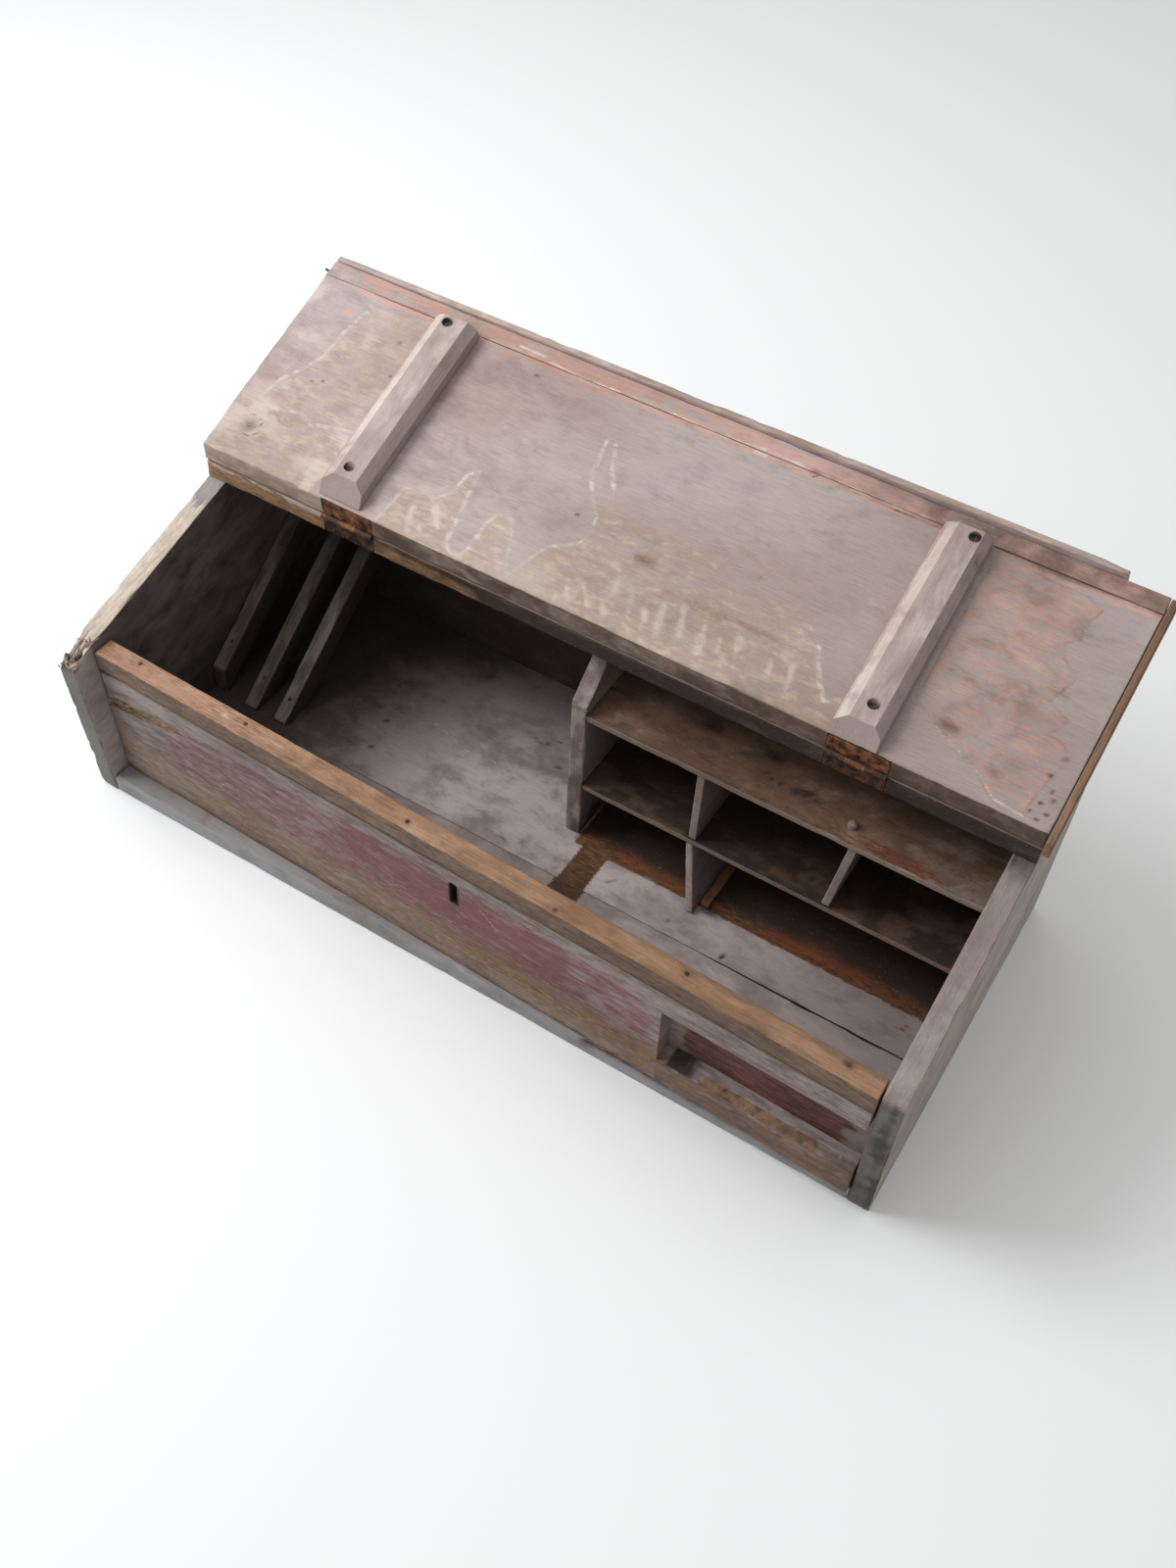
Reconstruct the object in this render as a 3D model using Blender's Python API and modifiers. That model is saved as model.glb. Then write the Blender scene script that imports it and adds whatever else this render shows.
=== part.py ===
# Slant-top wooden chest with a saw rack and pigeonholes, built board by board, lid folded open.
# Lengths are from the left outer face and the front of the bottom, in metres, +Z up.
import math

import bmesh
import bpy
from mathutils import Matrix

FIT_GAP = 0.0003
CUT_MARGIN = 0.002
EDGE_EASE = 0.0008
WELD = 0.000001

# Case
CHEST_LENGTH = 0.860
CHEST_DEPTH = 0.3834
TOP_SLOPE = math.radians(16.5)
HINGE_LINE_Y = 0.2127
HINGE_LINE_HEIGHT = 0.2507
END_THICK = 0.0205
LEFT_RAKE = 0.0135
RIGHT_RAKE = 0.0100
BOTTOM_THICK = 0.020
BOTTOM_SEAM_Y = 0.140
BACK_THICK = 0.020
TOP_BOARD_THICK = 0.0182

# Front, standing askew on the bottom and leaning forward
FRONT_LEFT_SETBACK = 0.0180
FRONT_SKEW = math.radians(1.74)
FRONT_LEAN = math.radians(1.6)
FRONT_THICK = 0.0220
FRONT_END_GAP = 0.0007
FRONT_BOARD_HEIGHT = 0.1410
FRONT_STRIP_HEIGHT = 0.0225
KEYHOLE_X = 0.4135
KEYHOLE_HEIGHT = 0.1070
KEYHOLE_TALL = 0.0240
KEYHOLE_WIDE = 0.0080
RECESS_LEFT = 0.6275
RECESS_DEEP = 0.0195
RECESS_TOP = 0.1115
RECESS_BACK_FOOT = 0.0375
RECESS_FRONT_FOOT = 0.0345

# Lid
LID_OPEN_ANGLE = math.radians(175.0)
LID_DEPTH = 0.2350
LID_FRONT_BOARD_WIDE = 0.0180
LIP_THICK = 0.0075
LIP_DROP_LEFT = 0.0010
LIP_DROP_RIGHT = 0.0050
LIP_LENGTH = 0.8220
STRIP_THICK = 0.0070
STRIP_PAST = 0.0060
BATTEN_SPANS = {"left": (0.1380, 0.1845), "right": (0.6662, 0.7100)}
BATTEN_THICK = 0.0180
BATTEN_CHAMFER_WIDES = {"left": (0.0120, 0.0095), "right": (0.0118, 0.0080)}
BATTEN_CHAMFER_DEEP = 0.0075
BATTEN_NEAR_ENDS = {"left": 0.0035, "right": 0.0005}
BATTEN_NEAR_SLOPES = {"left": 0.0180, "right": 0.0145}
BATTEN_SEAM_SETBACK = 0.0010
BATTEN_SCREW_NEAR = 0.0330
BATTEN_SCREW_FAR = 0.0080
BATTEN_SCREW_XS = {"left": (0.1600, 0.1570), "right": (0.6915, 0.6960)}
SCREW_SUNK = 0.0040
SCREW_HEAD_RADIUS = 0.0045
SCREW_HEAD_TALL = 0.0026
SCREW_SHANK_RADIUS = 0.0022
SCREW_INTO_LID = 0.0090
SCREW_STEPS = 16

# Hinges
HINGE_MIDDLES = {"left": 0.1712, "right": 0.6950}
HINGE_LENGTH = 0.0570
AXIS_SETOUT = 0.0012
AXIS_RISE = 0.0006
LEAF_THICK = 0.0020
LEAF_FOOT_MARGIN = 0.0012
PIN_RADIUS = 0.0015
BARREL_STEPS = 20

# Saw rack
BAR_WIDE = 0.0170
BAR_DEEP = 0.0250
BAR_MIDDLES = (0.0294, 0.0718, 0.1098)
BAR_TIPS_Y = (0.1540, 0.1490, 0.1490)
BAR_NOSES = (0.0300, 0.0030, 0.0030)
BAR_SLOPE = math.radians(37.5)

# Pigeonholes
UPRIGHT_X = 0.4300
UPRIGHT_THICK = 0.0170
UPRIGHT_FRONT_Y = 0.1965
UPRIGHT_FRONT_HEIGHT = 0.2000
UPRIGHT_TOP_SLOPE = math.radians(45.0)
DADO_DEEP = 0.0050
DADO_SLACK = 0.0035
SHELF_THICK = 0.0070
SHELF_FRONT_Y = 0.1975
TOP_SHELF_FOOT = 0.1830
MID_SHELF_FOOT = 0.0870
DIVIDER_THICK = 0.0080
DIVIDER_FRONT_Y = 0.1985
LEFT_DIVIDER_X = 0.5660
RIGHT_DIVIDER_FOOT_X = 0.7040
RIGHT_DIVIDER_LEAN = math.radians(7.5)
LOW_DIVIDER_FOOT_X = 0.5845
LOW_DIVIDER_LEAN = math.radians(-18.0)
LOW_DIVIDER_FOOT_FORWARD = 0.0250
RUNNER_WIDE = 0.0090
RUNNER_TALL = 0.0060
RUNNER_FRONT_Y = 0.1870
BUTTON_X = 0.7050
BUTTON_Y = 0.2170
BUTTON_RADIUS = 0.0044
BUTTON_TALL = 0.0050
BUTTON_DOME = 0.0016

INSIDE_LEFT = END_THICK + FIT_GAP
INSIDE_RIGHT = CHEST_LENGTH - END_THICK - FIT_GAP
BACK_INSIDE_Y = CHEST_DEPTH - BACK_THICK
FLOOR = BOTTOM_THICK + FIT_GAP
TOP_BOARD_PLUMB = TOP_BOARD_THICK / math.cos(TOP_SLOPE)
BARREL_RADIUS = AXIS_SETOUT + LEAF_THICK
AXIS_Y = HINGE_LINE_Y - AXIS_SETOUT
AXIS_Z = HINGE_LINE_HEIGHT + FIT_GAP + TOP_BOARD_PLUMB + AXIS_RISE
LID_BACK_Y = HINGE_LINE_Y - 2 * AXIS_SETOUT
LID_FRONT_Y = LID_BACK_Y - LID_DEPTH * math.cos(TOP_SLOPE)
LID_SEAM_Y = LID_FRONT_Y + LID_FRONT_BOARD_WIDE * math.cos(TOP_SLOPE)
BATTEN_FAR_END = LID_DEPTH - LID_FRONT_BOARD_WIDE - BATTEN_SEAM_SETBACK
BATTEN_SCREW_PLACES = (("near", BATTEN_SCREW_NEAR), ("far", BATTEN_FAR_END - BATTEN_SCREW_FAR))
MID_SHELF_TOP = MID_SHELF_FOOT + SHELF_THICK
TOP_SHELF_TOP = TOP_SHELF_FOOT + SHELF_THICK

# Turns an outline's own plane so that it is swept along x as (y, z), or along y as (x, z)
SWEEPS = {
    "X": Matrix(((0, 0, 1, 0), (1, 0, 0, 0), (0, 1, 0, 0), (0, 0, 0, 1))),
    "Y": Matrix(((1, 0, 0, 0), (0, 0, 1, 0), (0, 1, 0, 0), (0, 0, 0, 1))),
}

for old in list(bpy.data.objects):
    bpy.data.objects.remove(old)
parts = bpy.data.collections.new("wooden_storage_chest")
cutters = bpy.data.collections.new("cutters")
bpy.context.scene.collection.children.link(parts)
bpy.context.scene.collection.children.link(cutters)


def material(name, red, green, blue, roughness, metallic=0.0):
    made = bpy.data.materials.new(name)
    made.use_nodes = True
    shader = made.node_tree.nodes["Principled BSDF"]
    shader.inputs["Base Color"].default_value = (red, green, blue, 1.0)
    shader.inputs["Roughness"].default_value = roughness
    shader.inputs["Metallic"].default_value = metallic
    return made


def empty(name, parent, place, turn=(0.0, 0.0, 0.0)):
    made = bpy.data.objects.new(name, None)
    parts.objects.link(made)
    made.parent = parent
    made.location = place
    made.rotation_euler = turn
    return made


def tidied(shape, name):
    bmesh.ops.remove_doubles(shape, verts=shape.verts, dist=WELD)
    bmesh.ops.recalc_face_normals(shape, faces=shape.faces)
    mesh = bpy.data.meshes.new(name)
    shape.to_mesh(mesh)
    shape.free()
    return mesh


def box(name, low, high):
    shape = bmesh.new()
    bmesh.ops.create_cube(shape, size=1.0)
    size = [b - a for a, b in zip(low, high)]
    middle = [(a + b) / 2 for a, b in zip(low, high)]
    bmesh.ops.transform(shape, matrix=Matrix.Translation(middle) @ Matrix.Diagonal((*size, 1.0)), verts=shape.verts)
    return tidied(shape, name)


def outline(name, loops, low, high, sweep="X"):
    curve = bpy.data.curves.new(name, "CURVE")
    curve.dimensions = "2D"
    curve.fill_mode = "BOTH"
    curve.extrude = (high - low) / 2
    for loop in loops:
        spline = curve.splines.new("POLY")
        spline.points.add(len(loop) - 1)
        for point, (across, up) in zip(spline.points, loop):
            point.co = (across, up, 0.0, 1.0)
        spline.use_cyclic_u = True
    holder = bpy.data.objects.new(name, curve)
    filled = bpy.data.meshes.new_from_object(holder)
    bpy.data.objects.remove(holder)
    filled.transform(SWEEPS[sweep] @ Matrix.Translation((0.0, 0.0, (low + high) / 2)))
    shape = bmesh.new()
    shape.from_mesh(filled)
    bpy.data.meshes.remove(filled)
    return tidied(shape, name)


def turned(name, profile, steps):
    shape = bmesh.new()
    points = [shape.verts.new((radius, 0.0, height)) for radius, height in profile]
    edges = [shape.edges.new(pair) for pair in zip(points, points[1:])]
    bmesh.ops.spin(shape, geom=points + edges, axis=(0, 0, 1), cent=(0, 0, 0), angle=2 * math.pi, steps=steps)
    return tidied(shape, name)


def part(mesh, parent, finish, place=(0.0, 0.0, 0.0), turn=(0.0, 0.0, 0.0), ease=0.0):
    made = bpy.data.objects.new(mesh.name, mesh)
    parts.objects.link(made)
    made.parent = parent
    made.location = place
    made.rotation_euler = turn
    mesh.materials.append(finish)
    if ease:
        eased = made.modifiers.new("eased edges", "BEVEL")
        eased.width = ease
        eased.segments = 1
        eased.limit_method = "ANGLE"
    return made


def cutter(mesh, parent, place=(0.0, 0.0, 0.0)):
    made = bpy.data.objects.new(mesh.name, mesh)
    cutters.objects.link(made)
    made.parent = parent
    made.location = place
    made.hide_render = True
    made.display_type = "WIRE"
    return made


def cut(target, tool):
    made = target.modifiers.new(tool.name, "BOOLEAN")
    made.operation = "DIFFERENCE"
    made.solver = "EXACT"
    made.object = tool


def end_top(y):
    return HINGE_LINE_HEIGHT + (y - HINGE_LINE_Y) * math.tan(TOP_SLOPE)


def sloping_board(front_y, back_y):
    low = [(y, end_top(y) + FIT_GAP) for y in (front_y, back_y)]
    return low + [(y, z + TOP_BOARD_PLUMB) for y, z in reversed(low)]


def about_axis(points):
    return [(y - AXIS_Y, z - AXIS_Z) for y, z in points]


grey_paint = material("grey painted pine", 0.40, 0.35, 0.35, 0.75)
lid_paint = material("faded lavender paint", 0.48, 0.41, 0.39, 0.75)
red_paint = material("worn maroon paint", 0.22, 0.14, 0.13, 0.70)
bare_pine = material("bare tan pine", 0.50, 0.36, 0.22, 0.65)
old_wood = material("bare brown pine", 0.24, 0.14, 0.08, 0.75)
rusty_iron = material("rusty iron", 0.16, 0.08, 0.05, 0.80, 0.6)
dark_iron = material("dark iron", 0.06, 0.05, 0.05, 0.60, 0.8)

chest = empty("chest_frame", None, (-CHEST_LENGTH / 2, -CHEST_DEPTH / 2, 0.0))

# Ends, bottom, back and fixed top
for side, rake, near_x in (("left", LEFT_RAKE, 0.0), ("right", RIGHT_RAKE, CHEST_LENGTH - END_THICK)):
    end_shape = [(0.0, 0.0), (CHEST_DEPTH, 0.0), (CHEST_DEPTH, end_top(CHEST_DEPTH)), (-rake, end_top(-rake))]
    end_mesh = outline(f"{side}_end_board", [end_shape], near_x, near_x + END_THICK)
    part(end_mesh, chest, grey_paint, ease=EDGE_EASE)

bottom_front = box(
    "bottom_front_board", (INSIDE_LEFT, 0.0, 0.0), (INSIDE_RIGHT, BOTTOM_SEAM_Y - FIT_GAP, BOTTOM_THICK)
)
part(bottom_front, chest, grey_paint, ease=EDGE_EASE)
bottom_back = box(
    "bottom_back_board", (INSIDE_LEFT, BOTTOM_SEAM_Y, 0.0), (INSIDE_RIGHT, BACK_INSIDE_Y - FIT_GAP, BOTTOM_THICK)
)
part(bottom_back, chest, grey_paint, ease=EDGE_EASE)

back_shape = [
    (BACK_INSIDE_Y, 0.0), (CHEST_DEPTH, 0.0), (CHEST_DEPTH, end_top(CHEST_DEPTH)), (BACK_INSIDE_Y, end_top(BACK_INSIDE_Y)),
]
part(outline("back_board", [back_shape], INSIDE_LEFT, INSIDE_RIGHT), chest, grey_paint, ease=EDGE_EASE)

fixed_top_mesh = outline("fixed_top_board", [sloping_board(HINGE_LINE_Y, CHEST_DEPTH)], 0.0, CHEST_LENGTH)
fixed_top = part(fixed_top_mesh, chest, grey_paint, ease=EDGE_EASE)

# Front board with keyhole and recess, and the strip nailed along its top
front = empty(
    "front_frame", chest, (END_THICK, FRONT_LEFT_SETBACK, FLOOR), (FRONT_LEAN, 0.0, -FRONT_SKEW)
)
front_length = CHEST_LENGTH - 2 * END_THICK - FRONT_THICK * math.sin(FRONT_SKEW) - FRONT_END_GAP
front_board_mesh = box(
    "front_board", (FRONT_END_GAP, 0.0, 0.0), (front_length, FRONT_THICK, FRONT_BOARD_HEIGHT)
)
front_board = part(front_board_mesh, front, red_paint, ease=EDGE_EASE)
front_top = FRONT_BOARD_HEIGHT + FRONT_STRIP_HEIGHT
front_strip = box(
    "front_top_strip", (FRONT_END_GAP, 0.0, FRONT_BOARD_HEIGHT + FIT_GAP), (front_length, FRONT_THICK, front_top)
)
part(front_strip, front, bare_pine, ease=EDGE_EASE)

keyhole_round = [
    (
        KEYHOLE_X + KEYHOLE_WIDE / 2 * math.cos(math.pi * step / SCREW_STEPS),
        KEYHOLE_HEIGHT + KEYHOLE_TALL / 2 + KEYHOLE_WIDE / 2 * math.sin(math.pi * step / SCREW_STEPS),
    )
    for step in range(SCREW_STEPS + 1)
]
keyhole_foot = KEYHOLE_HEIGHT - KEYHOLE_TALL / 2
keyhole_shape = keyhole_round + [
    (KEYHOLE_X - KEYHOLE_WIDE / 2, keyhole_foot), (KEYHOLE_X + KEYHOLE_WIDE / 2, keyhole_foot),
]
keyhole_mesh = outline("keyhole", [keyhole_shape], -CUT_MARGIN, FRONT_THICK + CUT_MARGIN, "Y")
cut(front_board, cutter(keyhole_mesh, front))

recess_fall = (RECESS_BACK_FOOT - RECESS_FRONT_FOOT) / RECESS_DEEP
recess_shape = [
    (-CUT_MARGIN, RECESS_FRONT_FOOT - CUT_MARGIN * recess_fall), (RECESS_DEEP, RECESS_BACK_FOOT),
    (RECESS_DEEP, RECESS_TOP), (-CUT_MARGIN, RECESS_TOP),
]
cut(front_board, cutter(outline("recess", [recess_shape], RECESS_LEFT, front_length + CUT_MARGIN), front))

# Lid boards, drawn shut about the hinge axis, then opened by the empty on that axis
lid = empty("lid_hinge_axis", chest, (0.0, AXIS_Y, AXIS_Z), (-LID_OPEN_ANGLE, 0.0, 0.0))
lid_main_shape = about_axis(sloping_board(LID_SEAM_Y, LID_BACK_Y))
lid_main = part(outline("lid_main_board", [lid_main_shape], 0.0, CHEST_LENGTH), lid, lid_paint, ease=EDGE_EASE)
lid_front_shape = about_axis(sloping_board(LID_FRONT_Y, LID_SEAM_Y - FIT_GAP))
part(outline("lid_front_board", [lid_front_shape], 0.0, CHEST_LENGTH), lid, lid_paint, ease=EDGE_EASE)

lip_back_y = LID_FRONT_Y - FIT_GAP
lip_front_y = lip_back_y - LIP_THICK
lip_foot = end_top(lip_back_y) - LIP_DROP_LEFT
lip_shape = about_axis([
    (lip_front_y, lip_foot), (lip_back_y, lip_foot),
    (lip_back_y, end_top(lip_back_y) + TOP_BOARD_PLUMB), (lip_front_y, end_top(lip_front_y) + TOP_BOARD_PLUMB),
])
lip_mesh = outline("lid_front_lip", [lip_shape], 0.0, LIP_LENGTH)
for vert in lip_mesh.vertices:
    if abs(vert.co.z - (lip_foot - AXIS_Z)) < WELD:
        vert.co.z -= (LIP_DROP_RIGHT - LIP_DROP_LEFT) * vert.co.x / LIP_LENGTH
part(lip_mesh, lid, lid_paint, ease=EDGE_EASE)

strip_shape = about_axis(sloping_board(LID_FRONT_Y, LID_BACK_Y + STRIP_PAST))
strip_left = CHEST_LENGTH + FIT_GAP
strip_mesh = outline("lid_right_strip", [strip_shape], strip_left, strip_left + STRIP_THICK)
part(strip_mesh, lid, bare_pine, ease=EDGE_EASE)

# Inside of the lid: x along the chest, y from the hinge edge to the front, z out of the board
inner_face = empty(
    "lid_inner_face", lid,
    (0.0, LID_BACK_Y - AXIS_Y, end_top(LID_BACK_Y) + FIT_GAP - AXIS_Z), (math.pi + TOP_SLOPE, 0.0, 0.0),
)
batten_top = FIT_GAP + BATTEN_THICK
screw_top = batten_top - SCREW_SUNK
head_foot = screw_top - SCREW_HEAD_TALL
screw_profile = [
    (0.0, -SCREW_INTO_LID), (SCREW_SHANK_RADIUS, -SCREW_INTO_LID), (SCREW_SHANK_RADIUS, head_foot),
    (SCREW_HEAD_RADIUS, screw_top), (0.0, screw_top),
]
hole_foot = -SCREW_INTO_LID - FIT_GAP
hole_profile = [
    (0.0, hole_foot), (SCREW_SHANK_RADIUS + FIT_GAP, hole_foot), (SCREW_SHANK_RADIUS + FIT_GAP, head_foot - FIT_GAP),
    (SCREW_HEAD_RADIUS + FIT_GAP, screw_top - FIT_GAP), (SCREW_HEAD_RADIUS + FIT_GAP, batten_top + CUT_MARGIN),
    (0.0, batten_top + CUT_MARGIN),
]
batten_shoulder = batten_top - BATTEN_CHAMFER_DEEP
for side, (batten_low, batten_high) in BATTEN_SPANS.items():
    chamfer_low, chamfer_high = BATTEN_CHAMFER_WIDES[side]
    batten_shape = [
        (batten_low, FIT_GAP), (batten_high, FIT_GAP), (batten_high, batten_shoulder),
        (batten_high - chamfer_high, batten_top), (batten_low + chamfer_low, batten_top), (batten_low, batten_shoulder),
    ]
    near_end = BATTEN_NEAR_ENDS[side]
    batten_mesh = outline(f"lid_batten_{side}", [batten_shape], near_end, BATTEN_FAR_END, "Y")
    for vert in batten_mesh.vertices:
        if abs(vert.co.y - near_end) < WELD:
            vert.co.y += BATTEN_NEAR_SLOPES[side] * (vert.co.z - FIT_GAP) / BATTEN_THICK
    batten = part(batten_mesh, inner_face, lid_paint)
    for (where, along), screw_x in zip(BATTEN_SCREW_PLACES, BATTEN_SCREW_XS[side]):
        hole = cutter(turned(f"screw_hole_{side}_{where}", hole_profile, SCREW_STEPS), inner_face, (screw_x, along, 0.0))
        cut(batten, hole)
        cut(lid_main, hole)
        screw_mesh = turned(f"batten_screw_{side}_{where}", screw_profile, SCREW_STEPS)
        part(screw_mesh, inner_face, dark_iron, (screw_x, along, 0.0))

# Butt hinges: leaves flush in gains cut through the board edges, knuckles by thirds, a pin on the axis
leaf_foot = LEAF_FOOT_MARGIN - AXIS_RISE - TOP_BOARD_PLUMB
inner_angle = math.acos(AXIS_SETOUT / BARREL_RADIUS)
barrel_sweep = 2 * math.pi - inner_angle
barrel = [
    (BARREL_RADIUS * math.cos(barrel_sweep * step / BARREL_STEPS), BARREL_RADIUS * math.sin(barrel_sweep * step / BARREL_STEPS))
    for step in range(BARREL_STEPS + 1)
]
leaf_shape = [(AXIS_SETOUT, leaf_foot), (BARREL_RADIUS, leaf_foot)] + barrel
bore_radius = PIN_RADIUS + FIT_GAP
bore = [
    (bore_radius * math.cos(2 * math.pi * step / SCREW_STEPS), bore_radius * math.sin(2 * math.pi * step / SCREW_STEPS))
    for step in range(SCREW_STEPS)
]
lid_leaf_shape = [(-y, z) for y, z in leaf_shape]
third = HINGE_LENGTH / 3
gain_deep = LEAF_THICK + FIT_GAP
gain_low, gain_high = end_top(LID_BACK_Y) - CUT_MARGIN, AXIS_Z + CUT_MARGIN
pin_profile = [(0.0, -HINGE_LENGTH / 2), (PIN_RADIUS, -HINGE_LENGTH / 2), (PIN_RADIUS, HINGE_LENGTH / 2), (0.0, HINGE_LENGTH / 2)]
knuckle_reach = BARREL_RADIUS + FIT_GAP
for side, middle_x in HINGE_MIDDLES.items():
    hinge_low, hinge_high = middle_x - HINGE_LENGTH / 2, middle_x + HINGE_LENGTH / 2
    gain_left, gain_right = hinge_low - FIT_GAP, hinge_high + FIT_GAP
    rail_gain = box(
        f"rail_gain_{side}", (gain_left, HINGE_LINE_Y - CUT_MARGIN, gain_low), (gain_right, HINGE_LINE_Y + gain_deep, gain_high)
    )
    cut(fixed_top, cutter(rail_gain, chest))
    lid_gain = box(
        f"lid_gain_{side}",
        (gain_left, LID_BACK_Y - gain_deep - AXIS_Y, gain_low - AXIS_Z),
        (gain_right, LID_BACK_Y + CUT_MARGIN - AXIS_Y, gain_high - AXIS_Z),
    )
    cut(lid_main, cutter(lid_gain, lid))
    rail_leaf_mesh = outline(f"hinge_{side}_rail_leaf", [leaf_shape, bore], hinge_low, hinge_high)
    rail_leaf = part(rail_leaf_mesh, chest, rusty_iron, (0.0, AXIS_Y, AXIS_Z))
    lid_leaf_mesh = outline(f"hinge_{side}_lid_leaf", [lid_leaf_shape, bore], hinge_low, hinge_high)
    lid_leaf = part(lid_leaf_mesh, lid, rusty_iron)
    middle_gap = box(
        f"knuckle_gap_{side}_middle",
        (hinge_low + third - FIT_GAP, -knuckle_reach, -knuckle_reach),
        (hinge_high - third + FIT_GAP, knuckle_reach, knuckle_reach),
    )
    cut(rail_leaf, cutter(middle_gap, chest, (0.0, AXIS_Y, AXIS_Z)))
    for place, low_x, high_x in (("low", hinge_low - CUT_MARGIN, hinge_low + third), ("high", hinge_high - third, hinge_high + CUT_MARGIN)):
        end_gap = box(
            f"knuckle_gap_{side}_{place}", (low_x, -knuckle_reach, -knuckle_reach), (high_x, knuckle_reach, knuckle_reach)
        )
        cut(lid_leaf, cutter(end_gap, lid))
    pin_mesh = turned(f"hinge_{side}_pin", pin_profile, SCREW_STEPS)
    part(pin_mesh, chest, dark_iron, (middle_x, AXIS_Y, AXIS_Z), (0.0, math.pi / 2, 0.0))

# Saw rack
back_reach = BACK_INSIDE_Y - FIT_GAP
bar_rise = math.tan(BAR_SLOPE)
bar_plumb = BAR_DEEP / math.cos(BAR_SLOPE)
for number, (middle_x, tip_y, nose) in enumerate(zip(BAR_MIDDLES, BAR_TIPS_Y, BAR_NOSES), 1):
    bar_head = FLOOR + nose + (back_reach - tip_y) * bar_rise
    bar_heel_y = tip_y + (bar_plumb - nose) / bar_rise
    bar_shape = [
        (tip_y, FLOOR), (bar_heel_y, FLOOR), (back_reach, bar_head - bar_plumb),
        (back_reach, bar_head), (tip_y, FLOOR + nose),
    ]
    bar_mesh = outline(f"saw_rack_bar_{number}", [bar_shape], middle_x - BAR_WIDE / 2, middle_x + BAR_WIDE / 2)
    part(bar_mesh, chest, grey_paint, ease=EDGE_EASE)

# Pigeonholes
slope_step = math.tan(UPRIGHT_TOP_SLOPE)
meet_y = (
    end_top(0.0) - UPRIGHT_FRONT_HEIGHT + UPRIGHT_FRONT_Y * slope_step
) / (slope_step - math.tan(TOP_SLOPE))
upright_shape = [
    (UPRIGHT_FRONT_Y, FLOOR), (back_reach, FLOOR), (back_reach, end_top(back_reach)),
    (meet_y, end_top(meet_y)), (UPRIGHT_FRONT_Y, UPRIGHT_FRONT_HEIGHT),
]
upright_right = UPRIGHT_X + UPRIGHT_THICK
upright = part(outline("cubby_upright", [upright_shape], UPRIGHT_X, upright_right), chest, grey_paint, ease=EDGE_EASE)
for level, foot in (("top", TOP_SHELF_FOOT), ("mid", MID_SHELF_FOOT)):
    dado = box(
        f"dado_{level}",
        (upright_right - DADO_DEEP, UPRIGHT_FRONT_Y - CUT_MARGIN, foot - FIT_GAP),
        (upright_right + CUT_MARGIN, CHEST_DEPTH, foot + SHELF_THICK + DADO_SLACK),
    )
    cut(upright, cutter(dado, chest))
    shelf = box(
        f"cubby_{level}_shelf",
        (upright_right - DADO_DEEP + FIT_GAP, SHELF_FRONT_Y, foot), (INSIDE_RIGHT, back_reach, foot + SHELF_THICK),
    )
    part(shelf, chest, grey_paint, ease=EDGE_EASE)

left_divider = box(
    "cubby_divider_left",
    (LEFT_DIVIDER_X - DIVIDER_THICK / 2, DIVIDER_FRONT_Y, MID_SHELF_TOP + FIT_GAP),
    (LEFT_DIVIDER_X + DIVIDER_THICK / 2, back_reach, TOP_SHELF_FOOT - FIT_GAP),
)
part(left_divider, chest, grey_paint, ease=EDGE_EASE)


def leaning_board(name, foot_x, foot, head, lean, foot_forward):
    corner_rise = DIVIDER_THICK / 2 * abs(math.sin(lean))
    tall = (head - foot - 2 * FIT_GAP - 2 * corner_rise) / math.cos(lean)
    side_shape = [
        (DIVIDER_FRONT_Y - foot_forward, 0.0), (back_reach, 0.0), (back_reach, tall), (DIVIDER_FRONT_Y, tall),
    ]
    mesh = outline(name, [side_shape], -DIVIDER_THICK / 2, DIVIDER_THICK / 2)
    part(mesh, chest, grey_paint, (foot_x, 0.0, foot + FIT_GAP + corner_rise), (0.0, lean, 0.0), EDGE_EASE)


leaning_board("cubby_divider_right", RIGHT_DIVIDER_FOOT_X, MID_SHELF_TOP, TOP_SHELF_FOOT, RIGHT_DIVIDER_LEAN, 0.0)
leaning_board(
    "cubby_divider_low", LOW_DIVIDER_FOOT_X, BOTTOM_THICK, MID_SHELF_FOOT, LOW_DIVIDER_LEAN, LOW_DIVIDER_FOOT_FORWARD
)
runner_left = LOW_DIVIDER_FOOT_X + DIVIDER_THICK / 2 + FIT_GAP
runner = box(
    "drawer_runner", (runner_left, RUNNER_FRONT_Y, FLOOR), (runner_left + RUNNER_WIDE, back_reach, FLOOR + RUNNER_TALL)
)
part(runner, chest, old_wood, ease=EDGE_EASE)

button_profile = [
    (0.0, 0.0), (BUTTON_RADIUS, 0.0), (BUTTON_RADIUS, BUTTON_TALL - BUTTON_DOME),
    (BUTTON_RADIUS - BUTTON_DOME, BUTTON_TALL), (0.0, BUTTON_TALL),
]
part(turned("shelf_button", button_profile, BARREL_STEPS), chest, grey_paint, (BUTTON_X, BUTTON_Y, TOP_SHELF_TOP + FIT_GAP))
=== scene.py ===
import math

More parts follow.
